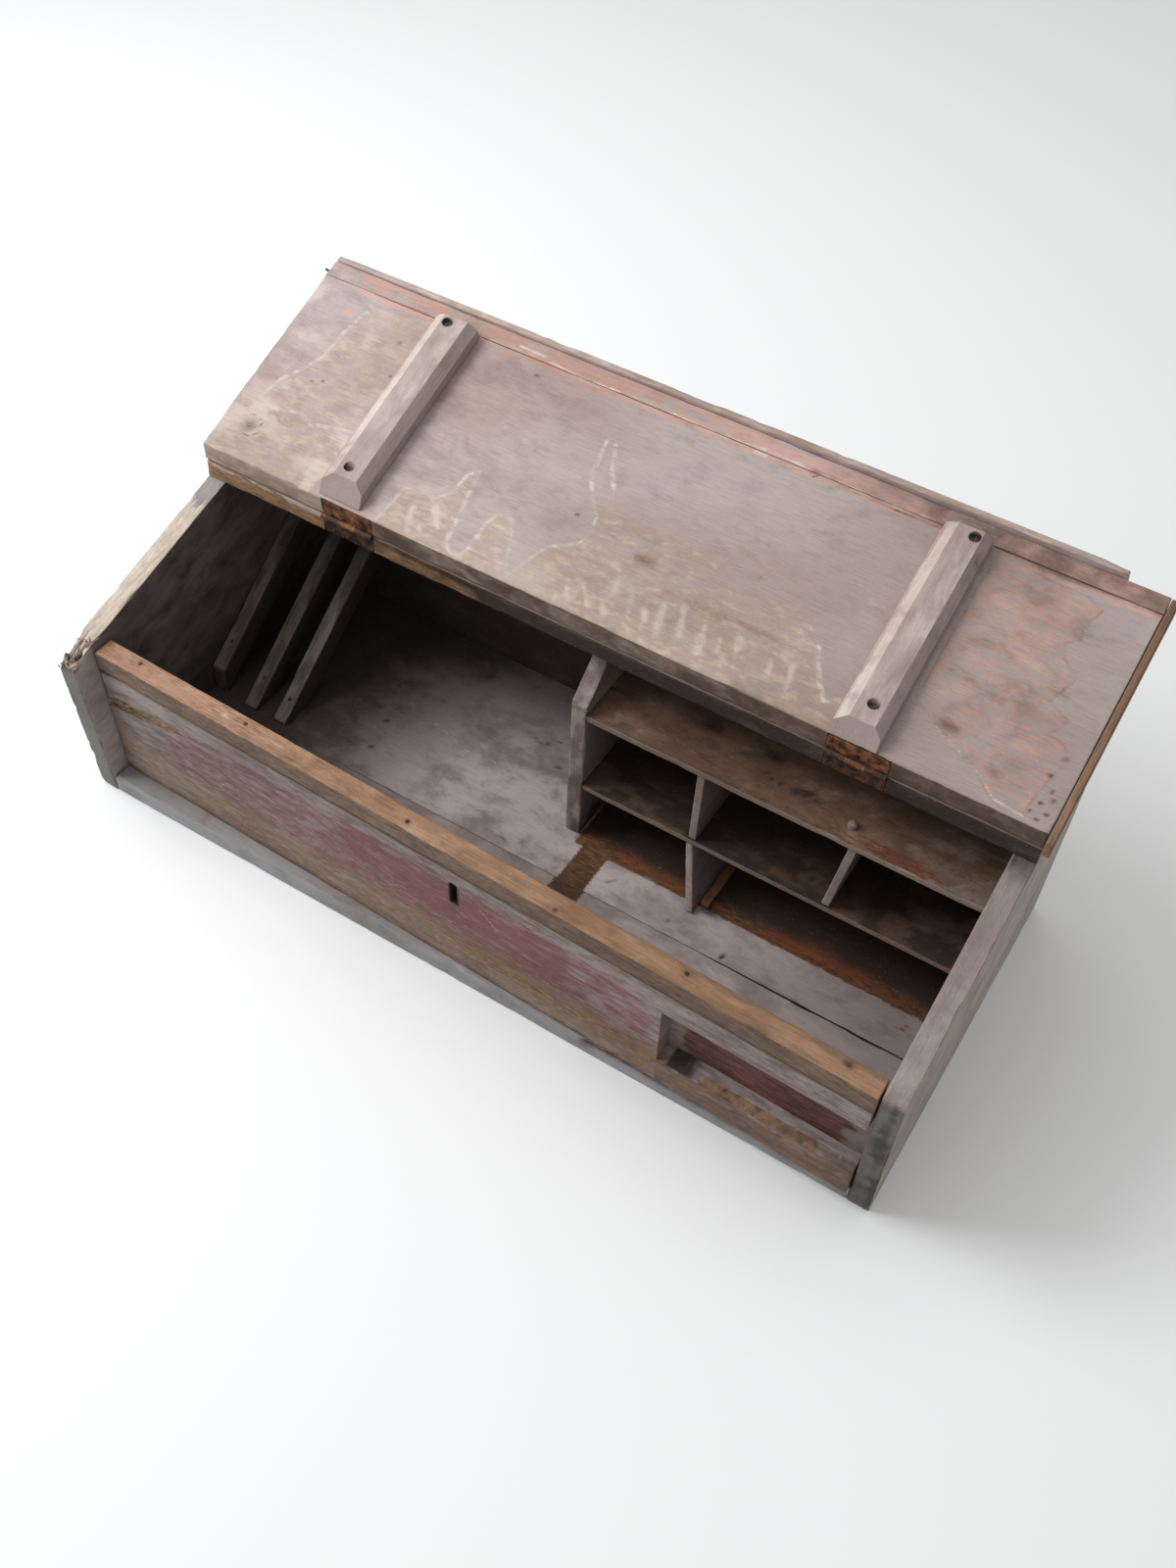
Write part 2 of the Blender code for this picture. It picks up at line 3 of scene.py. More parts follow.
import bpy
import numpy as np
from mathutils import Euler, Matrix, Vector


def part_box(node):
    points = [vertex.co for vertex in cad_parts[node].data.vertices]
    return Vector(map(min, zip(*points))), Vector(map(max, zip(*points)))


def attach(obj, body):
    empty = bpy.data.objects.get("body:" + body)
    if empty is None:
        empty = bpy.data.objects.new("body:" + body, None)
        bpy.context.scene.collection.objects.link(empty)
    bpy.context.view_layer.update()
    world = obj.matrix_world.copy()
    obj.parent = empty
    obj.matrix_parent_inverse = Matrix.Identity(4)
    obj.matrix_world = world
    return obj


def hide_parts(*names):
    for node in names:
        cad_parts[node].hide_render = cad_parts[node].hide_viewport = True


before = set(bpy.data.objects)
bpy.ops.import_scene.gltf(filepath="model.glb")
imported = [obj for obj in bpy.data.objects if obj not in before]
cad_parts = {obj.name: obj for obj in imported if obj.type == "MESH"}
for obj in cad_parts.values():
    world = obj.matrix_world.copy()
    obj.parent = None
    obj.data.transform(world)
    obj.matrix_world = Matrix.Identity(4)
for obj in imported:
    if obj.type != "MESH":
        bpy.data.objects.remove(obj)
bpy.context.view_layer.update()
scene = bpy.context.scene
print("frame loaded:", len(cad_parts), "boards, screws and hinge pieces")

# chest frame: x from the left outer face, y from the front of the bottom, z up, all in metres
chest = {
    "left": -0.430, "front": -0.1917, "length": 0.860, "depth": 0.3834, "slope": math.radians(16.5),
    "hingeLineY": 0.2127, "hingeLineZ": 0.2507, "boardThick": 0.0182, "gap": 0.0003, "endThick": 0.0205,
    "leftRake": 0.0135, "rightRake": 0.010, "axisSetout": 0.0012, "axisRise": 0.0006, "backInside": 0.3634,
    "backThick": 0.020, "floorTop": 0.0203, "lidOpen": math.radians(175.0), "lidDepth": 0.235,
    "lidFrontWide": 0.018,
}
cosS, sinS, tanS = (f(chest["slope"]) for f in (math.cos, math.sin, math.tan))
axisY = chest["hingeLineY"] - chest["axisSetout"]
axisZ = chest["hingeLineZ"] + chest["gap"] + chest["boardThick"] / cosS + chest["axisRise"]
lidBackY = chest["hingeLineY"] - 2 * chest["axisSetout"]
lidFrontY = lidBackY - chest["lidDepth"] * cosS


def endTop(y):  # height of the ends' sloping top line at depth y
    return chest["hingeLineZ"] + (y - chest["hingeLineY"]) * tanS


def inCase(x, y, z):  # chest frame to world
    return np.stack(np.broadcast_arrays(x + chest["left"], y + chest["front"], z), -1)


def inLid(x, y, z):  # a point of the shut lid, turned open about the hinge axis
    turn = -chest["lidOpen"]
    dy, dz = y - axisY, z - axisZ
    return inCase(x, axisY + dy * math.cos(turn) - dz * math.sin(turn),
                  axisZ + dy * math.sin(turn) + dz * math.cos(turn))


def linear(hexColor):  # sRGB hex to linear light
    value = np.array([int(hexColor[i:i + 2], 16) for i in (1, 3, 5)]) / 255
    return (*np.where(value <= 0.04045, value / 12.92, ((value + 0.055) / 1.055) ** 2.4), 1.0)


def add(tree, kind, settings=None, links=None):  # one node: sockets or properties set by name, then its links
    made = tree.nodes.new("ShaderNode" + kind)
    for key, value in (settings or {}).items():
        if key == "stops":
            while len(made.color_ramp.elements) < len(value):
                made.color_ramp.elements.new(0.5)
            for element, (place, color) in zip(made.color_ramp.elements, value):
                element.position, element.color = place, linear(color)
        elif isinstance(key, int) or key in made.inputs:
            made.inputs[key].default_value = value
        else:
            setattr(made, key, value)
    for key, source in (links or {}).items():
        tree.links.new(source, made.inputs[key])
    return made


def newMaterial(name):
    made = bpy.data.materials.new(name)
    made.use_nodes = True
    return made, made.node_tree, made.node_tree.nodes["Principled BSDF"]


# Old pine under worn paint: paint gone in crisp chips along the grain, chalky bloom and painted light, dirt and
# painted shade, and water-stain borders.
# patterns are (along mm, across mm, detail, roughness); the finest grain is coarser than real, so that it shows.
patterns = {
    "fine": (24, 0.9, 4, 0.60), "chip": (12, 3.0, 6, 0.66), "blotch": (38, 28, 9, 0.64),
    "cloudy": (240, 140, 3, 0.50), "grit": (2.4, 1.9, 4, 0.62),
}


def agedWood(name, look):
    made, tree, shader = newMaterial(name)
    grain = add(tree, "Attribute", {"attribute_name": "grainCo"})  # metres along, across and through the board
    # red dirt and painted shade, green bloom and painted light, blue bare wood, alpha red paint
    marks = add(tree, "Attribute", {"attribute_name": "marks"})
    # stored distances: pale tide, brown tide, crack, scratch
    borders = add(tree, "Attribute", {"attribute_name": "borders"})
    arris = add(tree, "Attribute", {"attribute_name": "arris"})  # 1 on the worn edge, fading over a few mm
    mark = add(tree, "SeparateColor", {}, {0: marks.outputs["Color"]}).outputs
    border = add(tree, "SeparateColor", {}, {0: borders.outputs["Color"]}).outputs
    field = {}
    for key, (along, across, detail, rough) in {**patterns, **look.get("patterns", {})}.items():
        scaled = add(tree, "Mapping", {"Scale": (1000 / along, 1000 / across, 1000 / across)},
                     {"Vector": grain.outputs["Vector"]})
        field[key] = add(tree, "TexNoise", {"Scale": 1.0, "Detail": detail, "Roughness": rough, "Distortion": 0.3},
                         {"Vector": scaled.outputs[0]}).outputs[0]

    # how much of a mark shows, its border broken up by a pattern
    def covered(source, pattern, spread, soft, cover):
        broken = add(tree, "Math", {"operation": "MULTIPLY_ADD", 1: spread},
                     {0: field[pattern], 2: source}).outputs[0]
        limits = {"From Min": 0.5 + spread / 2 - soft, "From Max": 0.5 + spread / 2 + soft, "To Max": cover}
        return add(tree, "MapRange", {"interpolation_type": "SMOOTHSTEP", **limits}, {"Value": broken}).outputs[0]

    # thin line where a stored distance in mm comes near 0, wandering with the patterns
    def line(source, low, wide, wander, cover):
        away = add(tree, "MapRange", {"To Min": low - wander / 2, "To Max": 20 - wander / 2},
                   {"Value": source}).outputs[0]
        away = add(tree, "Math", {"operation": "MULTIPLY_ADD", 1: wander}, {0: field["blotch"], 2: away}).outputs[0]
        away = add(tree, "Math", {"operation": "ABSOLUTE"}, {0: away}).outputs[0]
        drawn = add(tree, "MapRange", {"From Min": wide, "From Max": wide * 0.2, "To Max": cover},
                    {"Value": away}).outputs[0]
        faded = add(tree, "MapRange", {"From Min": 0.42, "From Max": 0.60, "To Min": 0.08},
                    {"Value": field["chip"]}).outputs[0]
        return add(tree, "Math", {"operation": "MULTIPLY"}, {0: drawn, 1: faded}).outputs[0]

    paint = add(tree, "ValToRGB", {"stops": list(zip((0.36, 0.50, 0.63), look["paint"]))},
                {0: field["blotch"]}).outputs[0]
    wood = add(tree, "ValToRGB", {"stops": list(zip((0.36, 0.50, 0.64), look["wood"]))},
               {0: field["chip"]}).outputs[0]
    shade = add(tree, "ValToRGB", {"stops": [(0.32, look["grainDark"]), (0.55, "#ffffff")]},
                {0: field["fine"]}).outputs[0]
    tones = add(tree, "ValToRGB", {"stops": [(0.36, look["cloudDark"]), (0.62, "#ffffff")]},
                {0: field["cloudy"]}).outputs[0]
    gone = add(tree, "Math", {"operation": "MULTIPLY_ADD", 1: look["byArris"]},
               {0: arris.outputs["Fac"], 2: mark["Blue"]}).outputs[0]
    wear = covered(gone, "chip", look["ragged"], 0.20, 1.0)
    flecks, dust = (
        add(tree, "MapRange", {"From Min": low, "From Max": low + run, "To Max": cover},
            {"Value": field["grit"]}).outputs[0]
        for low, run, cover in ((look["fleckFrom"], 0.05, 0.7), (0.34, -0.05, look["dusty"])))
    layers = (  # laid over the paint one by one: how much of each, then its colour
        ({}, {0: wear, 7: wood}),
        ({7: linear(look["red"])}, {0: covered(marks.outputs["Alpha"], "chip", look["ragged"], 0.22, 0.9)}),
        ({7: linear(look["bloomAndLight"])}, {0: covered(mark["Green"], "blotch", 2.0, 0.30, 0.85)}),
        ({"blend_type": "MULTIPLY", 0: look["grainShow"]}, {7: shade}),
        ({"blend_type": "MULTIPLY", 0: 1.0}, {7: tones}),
        ({7: linear(look["tide"])}, {0: line(border["Red"], -20, 2.6, look["wander"], 0.55)}),
        ({7: linear(look["ochre"])}, {0: line(border["Green"], -20, 1.7, look["wander"], 0.55)}),
        ({7: linear(look["dirtAndShade"])}, {0: line(border["Blue"], 0, 1.2, 1.5, 0.95)}),
        ({7: linear(look["tide"])}, {0: line(borders.outputs["Alpha"], 0, 1.6, 3.0, 0.7)}),
        ({7: linear(look["dirtAndShade"])}, {0: covered(mark["Red"], "blotch", 1.5, 0.45, 0.92)}),
        ({7: linear(look["dirtAndShade"])}, {0: flecks}),
        ({7: linear(look["tide"])}, {0: dust}),
    )
    color = paint
    for settings, links in layers:
        color = add(tree, "Mix", {"data_type": "RGBA", **settings}, {6: color, **links}).outputs[2]
    rough = add(tree, "MapRange", {"To Min": look["rough"][0], "To Max": look["rough"][1]},
                {"Value": wear}).outputs[0]
    relief = field["chip"]
    for share, height in ((0.8, field["fine"]), (0.6, field["grit"]), (-0.35, wear)):
        relief = add(tree, "Math", {"operation": "MULTIPLY_ADD", 1: share}, {0: height, 2: relief}).outputs[0]
    bump = add(tree, "Bump", {"Strength": look["bump"], "Distance": 0.0008}, {"Height": relief}).outputs[0]
    for key, source in {"Base Color": color, "Roughness": rough, "Normal": bump}.items():
        tree.links.new(source, shader.inputs[key])
    shader.inputs["Specular IOR Level"].default_value = 0.3
    return made


baseLook = {  # weathered lavender-grey milk paint on pine
    "paint": ("#807574", "#948988", "#a69b99"), "wood": ("#6b594c", "#877263", "#a08a78"),
    "grainDark": "#8d8078", "grainShow": 0.5, "cloudDark": "#dcd5d2",
    "red": "#7d4a3d", "bloomAndLight": "#bfb4af", "dirtAndShade": "#2f2622", "tide": "#d8ccc1", "ochre": "#8a6446",
    "byArris": 0.5, "ragged": 2.2, "wander": 7.0,
    "fleckFrom": 0.70, "dusty": 0.3, "rough": (0.62, 0.8), "bump": 0.5,
}
bottomLook = {"paint": ("#8d807d", "#a39692", "#b7aba6"), "wood": ("#432b1b", "#5f4028", "#785434"),
              "bloomAndLight": "#c2b6b1", "red": "#7a4526", "grainShow": 0.25, "byArris": 0.2}
woodLooks = {  # each finish: the name of its material, then what differs from the base look
    "lid_paint": ("fadedLavenderPaint", {
        "paint": ("#a69692", "#b4a4a0", "#c2b4ad"), "wood": ("#a89483", "#b5a294", "#c6b5a6"),
        "red": "#c6a195", "bloomAndLight": "#d6cabf", "tide": "#e2d6ca", "ochre": "#957051", "dirtAndShade": "#4a3930",
        "byArris": 0.2, "grainShow": 0.28, "cloudDark": "#e4dcd8", "ragged": 1.5,
        "patterns": {"chip": (16, 7, 6, 0.66)}}),
    "grey_paint": ("weatheredGreyPaint", {}),
    "rail": ("wornRailPaint", {
        "wood": ("#7d6248", "#98795a", "#b0926f"), "bloomAndLight": "#cfc4b8", "dirtAndShade": "#2a1c16"}),
    "ends": ("weatheredEndPaint", {
        "paint": ("#8d8281", "#a09594", "#b0a6a3"), "wood": ("#b5a798", "#c7baab", "#d6cabc"),
        "bloomAndLight": "#666660", "red": "#a5673c", "grainShow": 0.3}),
    "right_end": ("weatheredLavenderPaint", {
        "paint": ("#8d8180", "#a09491", "#b0a5a0"), "wood": ("#7c6f68", "#93867f", "#a89c95"),
        "bloomAndLight": "#6d6c68", "red": "#8a6a55", "grainShow": 0.3}),
    "bottom": ("scuffedBottomPaint", bottomLook),
    "toe": ("greyToePaint", {**bottomLook, "bloomAndLight": "#979899"}),
    "red_paint": ("wornMaroonPaint", {
        "paint": ("#74645e", "#8a7a75", "#9f928c"), "wood": ("#65513f", "#87705b", "#b59772"),
        "red": "#824f4e", "bloomAndLight": "#a59a97", "dirtAndShade": "#20130d", "tide": "#c2a77c",
        "grainShow": 0.6, "bump": 0.8, "dusty": 0.45,
        "patterns": {"chip": (11, 2.4, 6, 0.70), "blotch": (24, 5.5, 9, 0.68)}}),
    "bare_pine": ("bareTanPine", {
        "paint": ("#906d50", "#a48062", "#b69377"), "wood": ("#6a574b", "#7d685a", "#8e7a6b"),
        "red": "#b68d77", "bloomAndLight": "#dcc8ac", "dirtAndShade": "#4a382b", "byArris": 0.15, "grainShow": 0.6}),
    "dusty": ("dustyBareShelf", {
        "paint": ("#664b3c", "#7d604d", "#92745f"), "wood": ("#4f3b2f", "#64503f", "#79644f"),
        "red": "#6e3a2a", "bloomAndLight": "#9d8f83", "dirtAndShade": "#241b16", "tide": "#a08f7e",
        "fleckFrom": 0.62, "dusty": 0.5, "rough": (0.8, 0.9), "grainShow": 0.3}),
    "old_wood": ("bareBrownPine", {
        "paint": ("#6d4c36", "#8a6448", "#a37c5c"), "wood": ("#5b3e2b", "#7c583e", "#9b7757")}),
}
finishes = {key: agedWood(name, {**baseLook, **own}) for key, (name, own) in woodLooks.items()}


def iron(name, look):  # forged iron: pitted, dull, brown rust over dark metal, on object coordinates in mm
    made, tree, shader = newMaterial(name)
    where = add(tree, "TexCoord").outputs["Object"]
    coarse = add(tree, "TexNoise", {"Scale": 1000 / look["patchMm"], "Detail": 5.0, "Roughness": 0.65},
                 {"Vector": where}).outputs[0]
    pits = add(tree, "TexNoise", {"Scale": 1000 / look["pitMm"], "Detail": 3.0}, {"Vector": where}).outputs[0]
    color = add(tree, "ValToRGB", {"stops": look["tones"]}, {0: coarse}).outputs[0]
    dull = add(tree, "MapRange", {"From Min": 0.35, "From Max": 0.6, "To Min": 0.45, "To Max": 0.85},
               {"Value": coarse}).outputs[0]
    shine = add(tree, "MapRange", {"From Min": 0.42, "From Max": 0.55, "To Min": look["metal"], "To Max": 0.0},
                {"Value": coarse}).outputs[0]
    bump = add(tree, "Bump", {"Strength": 0.7, "Distance": 0.0006}, {"Height": pits}).outputs[0]
    for key, source in {"Base Color": color, "Roughness": dull, "Metallic": shine, "Normal": bump}.items():
        tree.links.new(source, shader.inputs[key])
    return made


ironLooks = {
    "rusty_iron": ("rustedIron", {
        "patchMm": 9, "pitMm": 1.6, "metal": 0.5,
        "tones": [(0.30, "#33201a"), (0.45, "#5c3924"), (0.56, "#7d4c2d"), (0.70, "#9b7453")]}),
    # a darker copy of the rusted iron: painted shade on the rail's hinge leaves
    "shaded_iron": ("shadedRustedIron", {
        "patchMm": 9, "pitMm": 1.6, "metal": 0.3,
        "tones": [(0.32, "#1d120d"), (0.48, "#2f1c13"), (0.60, "#57331f"), (0.72, "#80502f")]}),
    "dark_iron": ("darkForgedIron", {
        "patchMm": 4, "pitMm": 1.0, "metal": 0.8,
        "tones": [(0.34, "#231d1b"), (0.52, "#3d322d"), (0.68, "#6a4a37")]}),
}
finishes.update({key: iron(name, look) for key, (name, look) in ironLooks.items()})
print("finishes:", len(finishes))


def smooth(low, high, x):  # 0 below low, 1 above high, eased between
    t = np.clip((x - low) / (high - low), 0, 1)
    return t * t * (3 - 2 * t)


# random field 0 to 1: hashed values at lattice corners blended by a cubic fade, octave on octave
def cloud(p, size, seed, octaves=3):
    total, weight = 0.0, 0.0
    for octave in range(octaves):
        q = p / np.asarray(size, float) * 2 ** octave + 17.3 * seed
        cell = np.floor(q).astype(np.int64)
        f = q - cell
        f = f * f * (3 - 2 * f)
        value = 0.0
        for corner in np.ndindex(2, 2, 2):
            at = cell + corner
            h = (at[:, 0] * 73856093) ^ (at[:, 1] * 19349663) ^ (at[:, 2] * 83492791)
            h = h ^ (seed * 2654435 + octave * 9781)
            h = ((h ^ (h >> 13)) * 1274126177) & 0x7fffffff
            h = ((h ^ (h >> 15)) * 668265263) & 0x7fffffff
            value = value + np.prod(np.where(corner, f, 1 - f), axis=1) * ((h >> 7) & 0xffff) / 65535
        total, weight = total + value * 0.5 ** octave, weight + 0.5 ** octave
    return total / weight


def flaked(p, size, seed, low, high):  # ragged flakes: the random field, eased from low to high
    return smooth(low, high, cloud(p, size, seed))


def spot(a, b, at, size):  # soft round mark
    return np.exp(-((a - at[0]) / size[0]) ** 2 - ((b - at[1]) / size[1]) ** 2)


def patch(a, b, low, high, soft):  # soft-edged rectangle
    alongA, alongB = (smooth(l - soft, l + soft, v) * smooth(-h - soft, -h + soft, -v)
                      for l, h, v in zip(low, high, (a, b)))
    return alongA * alongB


def reach(a, b, points):  # distance in mm from a bent line
    least = np.full(a.shape, 1e9)
    for (x0, y0), (x1, y1) in zip(points, points[1:]):
        dx, dy = x1 - x0, y1 - y0
        t = np.clip(((a - x0) * dx + (b - y0) * dy) / (dx * dx + dy * dy), 0, 1)
        least = np.minimum(least, np.hypot(a - x0 - t * dx, b - y0 - t * dy))
    return least


def nearest(a, b, lines):  # distance in mm from the closest of several bent lines
    return np.min([reach(a, b, line) for line in lines], axis=0)


def trail(a, b, points, width):  # mark that fades with the distance from a bent line
    return np.exp(-(reach(a, b, points) / width) ** 2)


def inOutline(a, b, points):  # distance in mm from a closed outline, negative inside it
    crossed = np.zeros(a.shape, bool)
    for (x0, y0), (x1, y1) in zip(points, points[1:] + points[:1]):
        crossed ^= ((y0 > b) != (y1 > b)) & (a < (x1 - x0) * (b - y0) / ((y1 - y0) or 1e-9) + x0)
    return reach(a, b, points + points[:1]) * np.where(crossed, -1, 1)


# the dirt channel also carries painted shade, and the bloom channel painted light
def channels(p, dirtAndShade=0.0, bloomAndLight=0.0, bare=0.0, red=0.0):  # the four painted marks as one colour
    return np.stack([np.clip(np.broadcast_to(v, len(p)), 0, 1) for v in (dirtAndShade, bloomAndLight, bare, red)], -1)


# four distances in mm as one colour: the tides signed, the others not
def borders(p, pale=20.0, brown=20.0, crack=20.0, scratch=20.0):
    signed = [np.clip(np.broadcast_to(v, len(p)) / 40 + 0.5, 0, 1) for v in (pale, brown)]
    return np.stack(signed + [np.clip(np.broadcast_to(v, len(p)) / 20, 0, 1) for v in (crack, scratch)], -1)


# grid lines along one side: even steps, closer at both ends for the arris
def sideLines(length, step, arris, extra):
    close = np.array([0, 0.35, 0.7, 1.0, 1.7, 2.8]) * arris
    close = close[close < length * 0.4]
    even = np.linspace(close[-1], length - close[-1], max(2, round((length - 2 * close[-1]) / step) + 1))
    every = np.concatenate([close, length - close, even, np.asarray(extra, float) / 1000])
    return np.unique(np.round(every[(every >= 0) & (every <= length)], 7))


def gridQuads(shape, start=0):  # faces between the neighbours of a grid of points
    n = np.arange(shape[0] * shape[1]).reshape(shape) + start
    return np.stack([n[:-1, :-1], n[1:, :-1], n[1:, 1:], n[:-1, 1:]], -1).reshape(-1, 4)


def boxShell(axes):  # six grids that close a box, welded along its edges
    points, quads, start = [], [], 0
    for fixed in range(3):
        u, v = (fixed + 1) % 3, (fixed + 2) % 3
        for side in (0, 1):
            gridU, gridV = np.meshgrid(axes[u], axes[v], indexing="ij")
            p = np.empty((gridU.size, 3))
            p[:, u], p[:, v], p[:, fixed] = gridU.ravel(), gridV.ravel(), axes[fixed][-side]
            q = gridQuads(gridU.shape, start)
            points.append(p)
            quads.append(q if side else q[:, ::-1])
            start += gridU.size
    points, index = np.unique(np.concatenate(points), axis=0, return_inverse=True)
    return points, index.reshape(-1)[np.concatenate(quads)]


# Finished arrays go into a mesh that rides on its body; the last four are the attributes that the aged wood reads.
def shown(name, world, faces, finish, body, nodes, grainCo, marks, lines, arris):
    mesh = bpy.data.meshes.new(name)
    mesh.from_pydata(world.tolist(), [], faces)
    for label, kind, field, data in (("grainCo", "FLOAT_VECTOR", "vector", grainCo),
                                     ("marks", "FLOAT_COLOR", "color", marks),
                                     ("borders", "FLOAT_COLOR", "color", lines),
                                     ("arris", "FLOAT", "value", arris)):
        made = mesh.attributes.new(label, kind, "POINT")
        made.data.foreach_set(field, np.ascontiguousarray(data, np.float32).ravel())
    mesh.shade_smooth()
    mesh.set_sharp_from_angle(angle=math.radians(40))
    mesh.materials.append(finishes[finish])
    piece = bpy.data.objects.new(name, mesh)
    scene.collection.objects.link(piece)
    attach(piece, body)
    if nodes:
        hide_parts(*nodes)
    return piece


# Worn board: a box shell whose arrises are rounded by a radius that grows in chips, pressed in by soft waves and by
# the board's own cuts, then put in place by a function of (along, across, through) in metres.
def wornBoard(name, node, size, place, finish="grey_paint", body="case", step=0.005,
              arris=0.0013, chip=0.0015, wave=0.0004, seed=1, lines=((), (), ()), cuts=None, paint=None,
              lined=None, tight=None):
    size = np.asarray(size, float)
    points, quads = boxShell([sideLines(size[i], step, arris, lines[i]) for i in range(3)])
    mm = points * 1000
    broken = flaked(mm, (26, 22, 22), seed, 0.55, 0.72)
    radius = np.minimum(arris + chip * broken, size.min() * 0.42)[:, None]
    if tight:  # where the board is close fitted, its arris is almost sharp
        radius = radius * (1 - 0.85 * tight(mm))[:, None]
    core = np.clip(points, radius, size - radius)
    out = points - core
    out /= np.linalg.norm(out, axis=1, keepdims=True)
    depth = wave * cloud(mm, (120, 30, 30), seed + 40)
    if cuts:
        depth = depth + cuts(mm, out) / 1000
    world = place(*(core + out * radius - out * depth[:, None]).T)
    corner = place(*(np.vstack([np.zeros(3), np.eye(3)]) * 0.001 + size / 2).T)
    if np.linalg.det(corner[1:] - corner[0]) < 0:  # a left-handed place turns the faces round
        quads = quads[:, ::-1]
    toEdge = np.sort(np.minimum(points, size - points), axis=1)[:, 1] * 1000
    marks = paint(mm, out) if paint else channels(mm)
    return shown(name, world, quads.tolist(), finish, body, (node,), points + seed * 0.731, marks,
                 lined(mm) if lined else borders(mm), np.exp(-toEdge / 2.4))


# along = depth, across = height, through = thickness; the front edge rakes forward to the sloping top
def endPlace(nearX, rake, corner):
    tall = endTop(chest["depth"])

    def place(a, b, c):
        t = b / tall
        y = a - rake * t * (1 - a / chest["depth"])
        drawn = corner * np.exp(-(a + (tall - b) * 0.6) / 0.007)  # the front top corner is rubbed round
        return inCase(nearX + c, y + drawn, t * endTop(y) - drawn)
    return (chest["depth"], tall, chest["endThick"]), place


endTall = 301  # mm to the top line of the ends where they are highest
leftEnd = {"rotLong": 44.0, "rotLow": 20.0, "rotDeep": 9.0}


def leftRot(p):  # 1 in the rotted front top corner, ragged along its border
    a, b, c = p.T
    ragged = a + 26 * (cloud(p, (12, 9, 7), 90) - 0.5)
    return smooth(leftEnd["rotLong"], 6, ragged) * smooth(leftEnd["rotLow"], 2, endTall - b)


def leftEndCuts(p, out):  # soft wood gone between ridges that follow the grain
    ridge = cloud(p, (26, 5.0, 3.2), 91)
    splits = 1.5 * flaked(p, (60, 8, 8), 92, 0.60, 0.72) * (out[:, 2] < -0.5)
    return leftRot(p) * (1.5 + leftEnd["rotDeep"] * smooth(0.36, 0.62, ridge)) + splits


def leftEndPaint(p, out):
    a, b, c = p.T
    rot = leftRot(p)
    topFace = smooth(0.4, 0.8, out[:, 1])
    inner = out[:, 2] > 0.6
    edge = smooth(0.3, 0.7, -out[:, 0]) + smooth(0.6, 0.9, -out[:, 2]) * smooth(60, 0, a)
    hollow = flaked(p, (26, 5.0, 3.2), 91, 0.44, 0.62)
    # slanting saw marks left on the top edge
    saw = smooth(0.2, 0.9, np.sin((a * 0.75 + c * 1.0) * 1.7 + 2.4 * cloud(p, (30, 9, 9), 95)))
    # painted shade: the inner face behind the front board is darkened, most towards the bottom; the rotted corner,
    # saw marks and edges carry dirt
    dirtAndShade = (0.8 * rot * hollow + inner * smooth(20, 28, a) * (0.62 + 0.4 * smooth(150, 20, b))
            + 0.16 * topFace * saw * (1 - rot) + 0.08 * inner * smooth(28, 14, a) + 0.2 * edge)
    bare = 0.75 * rot * flaked(p, (40, 9, 9), 93, 0.3, 0.5) + 1.2 * topFace * (1 - rot) * smooth(200, 170, a)
    return channels(p, dirtAndShade, edge * (1 - rot), bare, 0.45 * rot * flaked(p, (14, 3, 3), 96, 0.48, 0.6))


def leftEndLines(p):  # two checks that run in from the front edge
    return borders(p, crack=nearest(p[:, 0], p[:, 1],
                                    [[(-2, 150), (10, 134), (20, 122)], [(0, 52), (8, 36), (16, 20)],
                                     [(4, 98), (14, 90)]]))


size, place = endPlace(0.0, chest["leftRake"], 0.002)
wornBoard("wornLeftEnd", "left_end_board", size, place, finish="ends", step=0.0042, chip=0.003,
          seed=3, cuts=leftEndCuts, paint=leftEndPaint, lined=leftEndLines,
          lines=(np.arange(0, 54, 1.0), np.arange(276, 301, 1.0), np.arange(1, 20, 1.0)))

rightEnd = {"chipAt": (84, 301), "chipSize": (13, 6)}


def rightEndCuts(p, out):
    a, b, c = p.T
    return 2.2 * spot(a, b, rightEnd["chipAt"], rightEnd["chipSize"]) * (c > 9)


def rightEndPaint(p, out):
    a, b, c = p.T
    frontFace = smooth(0.5, 0.8, -out[:, 0])
    topFace = smooth(0.5, 0.8, out[:, 1])
    inner = out[:, 2] < -0.6
    cracked = flaked(p, (5, 60, 4), 97, 0.55, 0.68)
    # the inner face is darker towards the bottom, and the top is darker where it runs in under the fixed top
    dirtAndShade = (frontFace * (0.26 + 0.2 * smooth(300, 40, b) + 0.4 * cracked) + 0.2 * inner * smooth(120, 20, b)
            + 0.25 * topFace * flaked(p, (40, 10, 10), 98, 0.45, 0.65) + 0.5 * topFace * smooth(190, 215, a))
    return channels(p, dirtAndShade, frontFace * smooth(301, 290, b), 0.1 * topFace,
                    0.2 * inner * flaked(p, (60, 30, 8), 99, 0.45, 0.6))


def rightEndLines(p):  # checks in the front edge's end grain
    return borders(p, crack=nearest(p[:, 1], p[:, 2] + 40 * (p[:, 0] > 12),
                                    [[(40, 13), (120, 9), (190, 12), (250, 8)], [(10, 8), (60, 5), (110, 4)]]))


size, place = endPlace(chest["length"] - chest["endThick"], chest["rightRake"], 0.0035)
wornBoard("wornRightEnd", "right_end_board", size, place, finish="right_end", step=0.0045,
          chip=0.002, seed=5, cuts=rightEndCuts, paint=rightEndPaint, lined=rightEndLines)


# an upright rectangular board: order names which world axis is along, across and through
def boxPlace(node, order):
    low, high = (np.asarray(corner, float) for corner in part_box(node))
    spread = high - low

    def place(*abc):
        world = np.empty((len(abc[0]), 3))
        for k, axis in enumerate(order):
            world[:, axis] = low[axis] + abc[k]
        return world
    return [spread[axis] for axis in order], place


